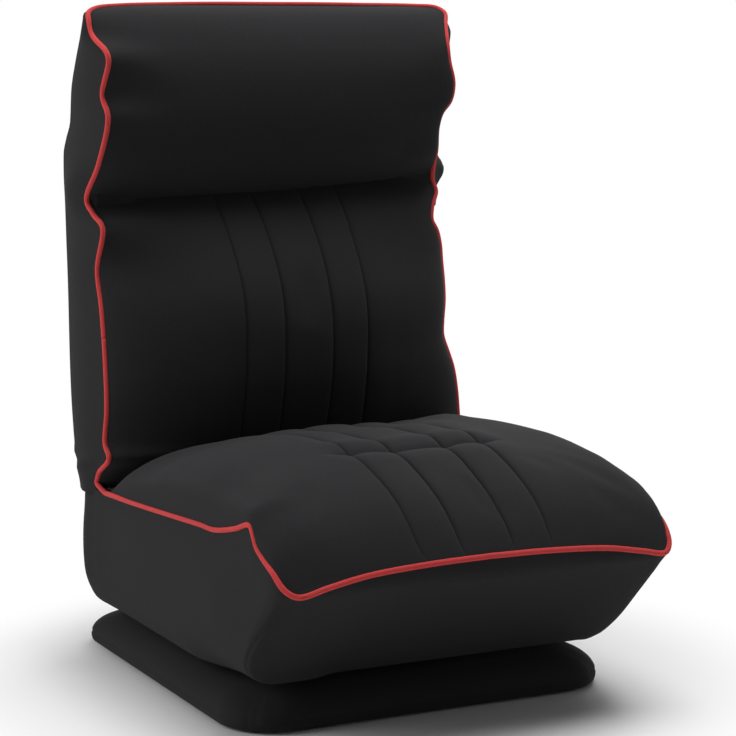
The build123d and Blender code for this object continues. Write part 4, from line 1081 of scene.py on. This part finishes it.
def studio_world():
    """White for the camera and in reflections, dim as a light."""
    world = bpy.data.worlds.new("studio")
    world.use_nodes = True
    tree = world.node_tree
    background = tree.nodes["Background"]
    background.inputs["Color"].default_value = (1, 1, 1, 1)
    rays = tree.nodes.new("ShaderNodeLightPath")
    seen = tree.nodes.new("ShaderNodeMath")
    seen.operation = "MAXIMUM"
    tree.links.new(rays.outputs["Is Camera Ray"], seen.inputs[0])
    tree.links.new(rays.outputs["Is Glossy Ray"], seen.inputs[1])
    strength = tree.nodes.new("ShaderNodeMapRange")
    strength.inputs["To Min"].default_value = FILL_LIGHT
    strength.inputs["To Max"].default_value = 1.0
    tree.links.new(seen.outputs[0], strength.inputs["Value"])
    tree.links.new(strength.outputs["Result"], background.inputs["Strength"])
    return world


def floor_paint():
    """Matte white near the chair, where shadows fall, and pure white for the camera farther out."""
    paint = bpy.data.materials.new("floor_paint")
    paint.use_nodes = True
    tree = paint.node_tree
    matte = tree.nodes["Principled BSDF"]
    matte.inputs["Base Color"].default_value = (FLOOR_SHADE, FLOOR_SHADE, FLOOR_SHADE, 1)
    matte.inputs["Roughness"].default_value = FLOOR_ROUGHNESS
    white = tree.nodes.new("ShaderNodeEmission")
    white.inputs["Strength"].default_value = 1.0
    mixed = tree.nodes.new("ShaderNodeMixShader")
    place = tree.nodes.new("ShaderNodeTexCoord")
    reach = tree.nodes.new("ShaderNodeVectorMath")
    reach.operation = "LENGTH"
    tree.links.new(place.outputs["Object"], reach.inputs[0])
    ramp = tree.nodes.new("ShaderNodeMapRange")
    ramp.interpolation_type = "SMOOTHSTEP"
    ramp.inputs["From Min"].default_value = SHADOW_REACH[0]
    ramp.inputs["From Max"].default_value = SHADOW_REACH[1]
    tree.links.new(reach.outputs["Value"], ramp.inputs["Value"])
    rays = tree.nodes.new("ShaderNodeLightPath")
    share = tree.nodes.new("ShaderNodeMath")
    share.operation = "MULTIPLY"
    tree.links.new(ramp.outputs["Result"], share.inputs[0])
    tree.links.new(rays.outputs["Is Camera Ray"], share.inputs[1])
    tree.links.new(share.outputs[0], mixed.inputs["Fac"])
    tree.links.new(matte.outputs["BSDF"], mixed.inputs[1])
    tree.links.new(white.outputs["Emission"], mixed.inputs[2])
    tree.links.new(mixed.outputs["Shader"], tree.nodes["Material Output"].inputs["Surface"])
    return paint


def lamp(name, place, aim, size, power):
    """Soft square area lamp aimed at a point."""
    light = bpy.data.lights.new(name, "AREA")
    light.shape = "SQUARE"
    light.size = size
    light.energy = power
    obj = bpy.data.objects.new(name, light)
    obj.location = place
    obj.rotation_euler = (Vector(aim) - Vector(place)).to_track_quat("-Z", "Y").to_euler()
    scene.collection.objects.link(obj)


scene.world = studio_world()

bpy.ops.mesh.primitive_circle_add(
    vertices=FLOOR_SIDES, radius=FLOOR_RADIUS, fill_type="NGON", location=(0, 0, 0)
)
floor = bpy.context.object
floor.name = "floor"
floor.data.materials.append(floor_paint())

for settings in LAMPS:
    lamp(*settings)

# Camera
camera_data = bpy.data.cameras.new("camera")
camera_data.lens = CAMERA_LENS
camera_data.sensor_width = CAMERA_SENSOR
camera = bpy.data.objects.new("camera", camera_data)
toward = Vector((
    math.sin(CAMERA_AZIMUTH) * math.cos(CAMERA_ELEVATION),
    -math.cos(CAMERA_AZIMUTH) * math.cos(CAMERA_ELEVATION),
    math.sin(CAMERA_ELEVATION),
))
camera.location = CAMERA_TARGET + CAMERA_DISTANCE * toward
camera.rotation_euler = (-toward).to_track_quat("-Z", "Y").to_euler()
scene.collection.objects.link(camera)
scene.camera = camera
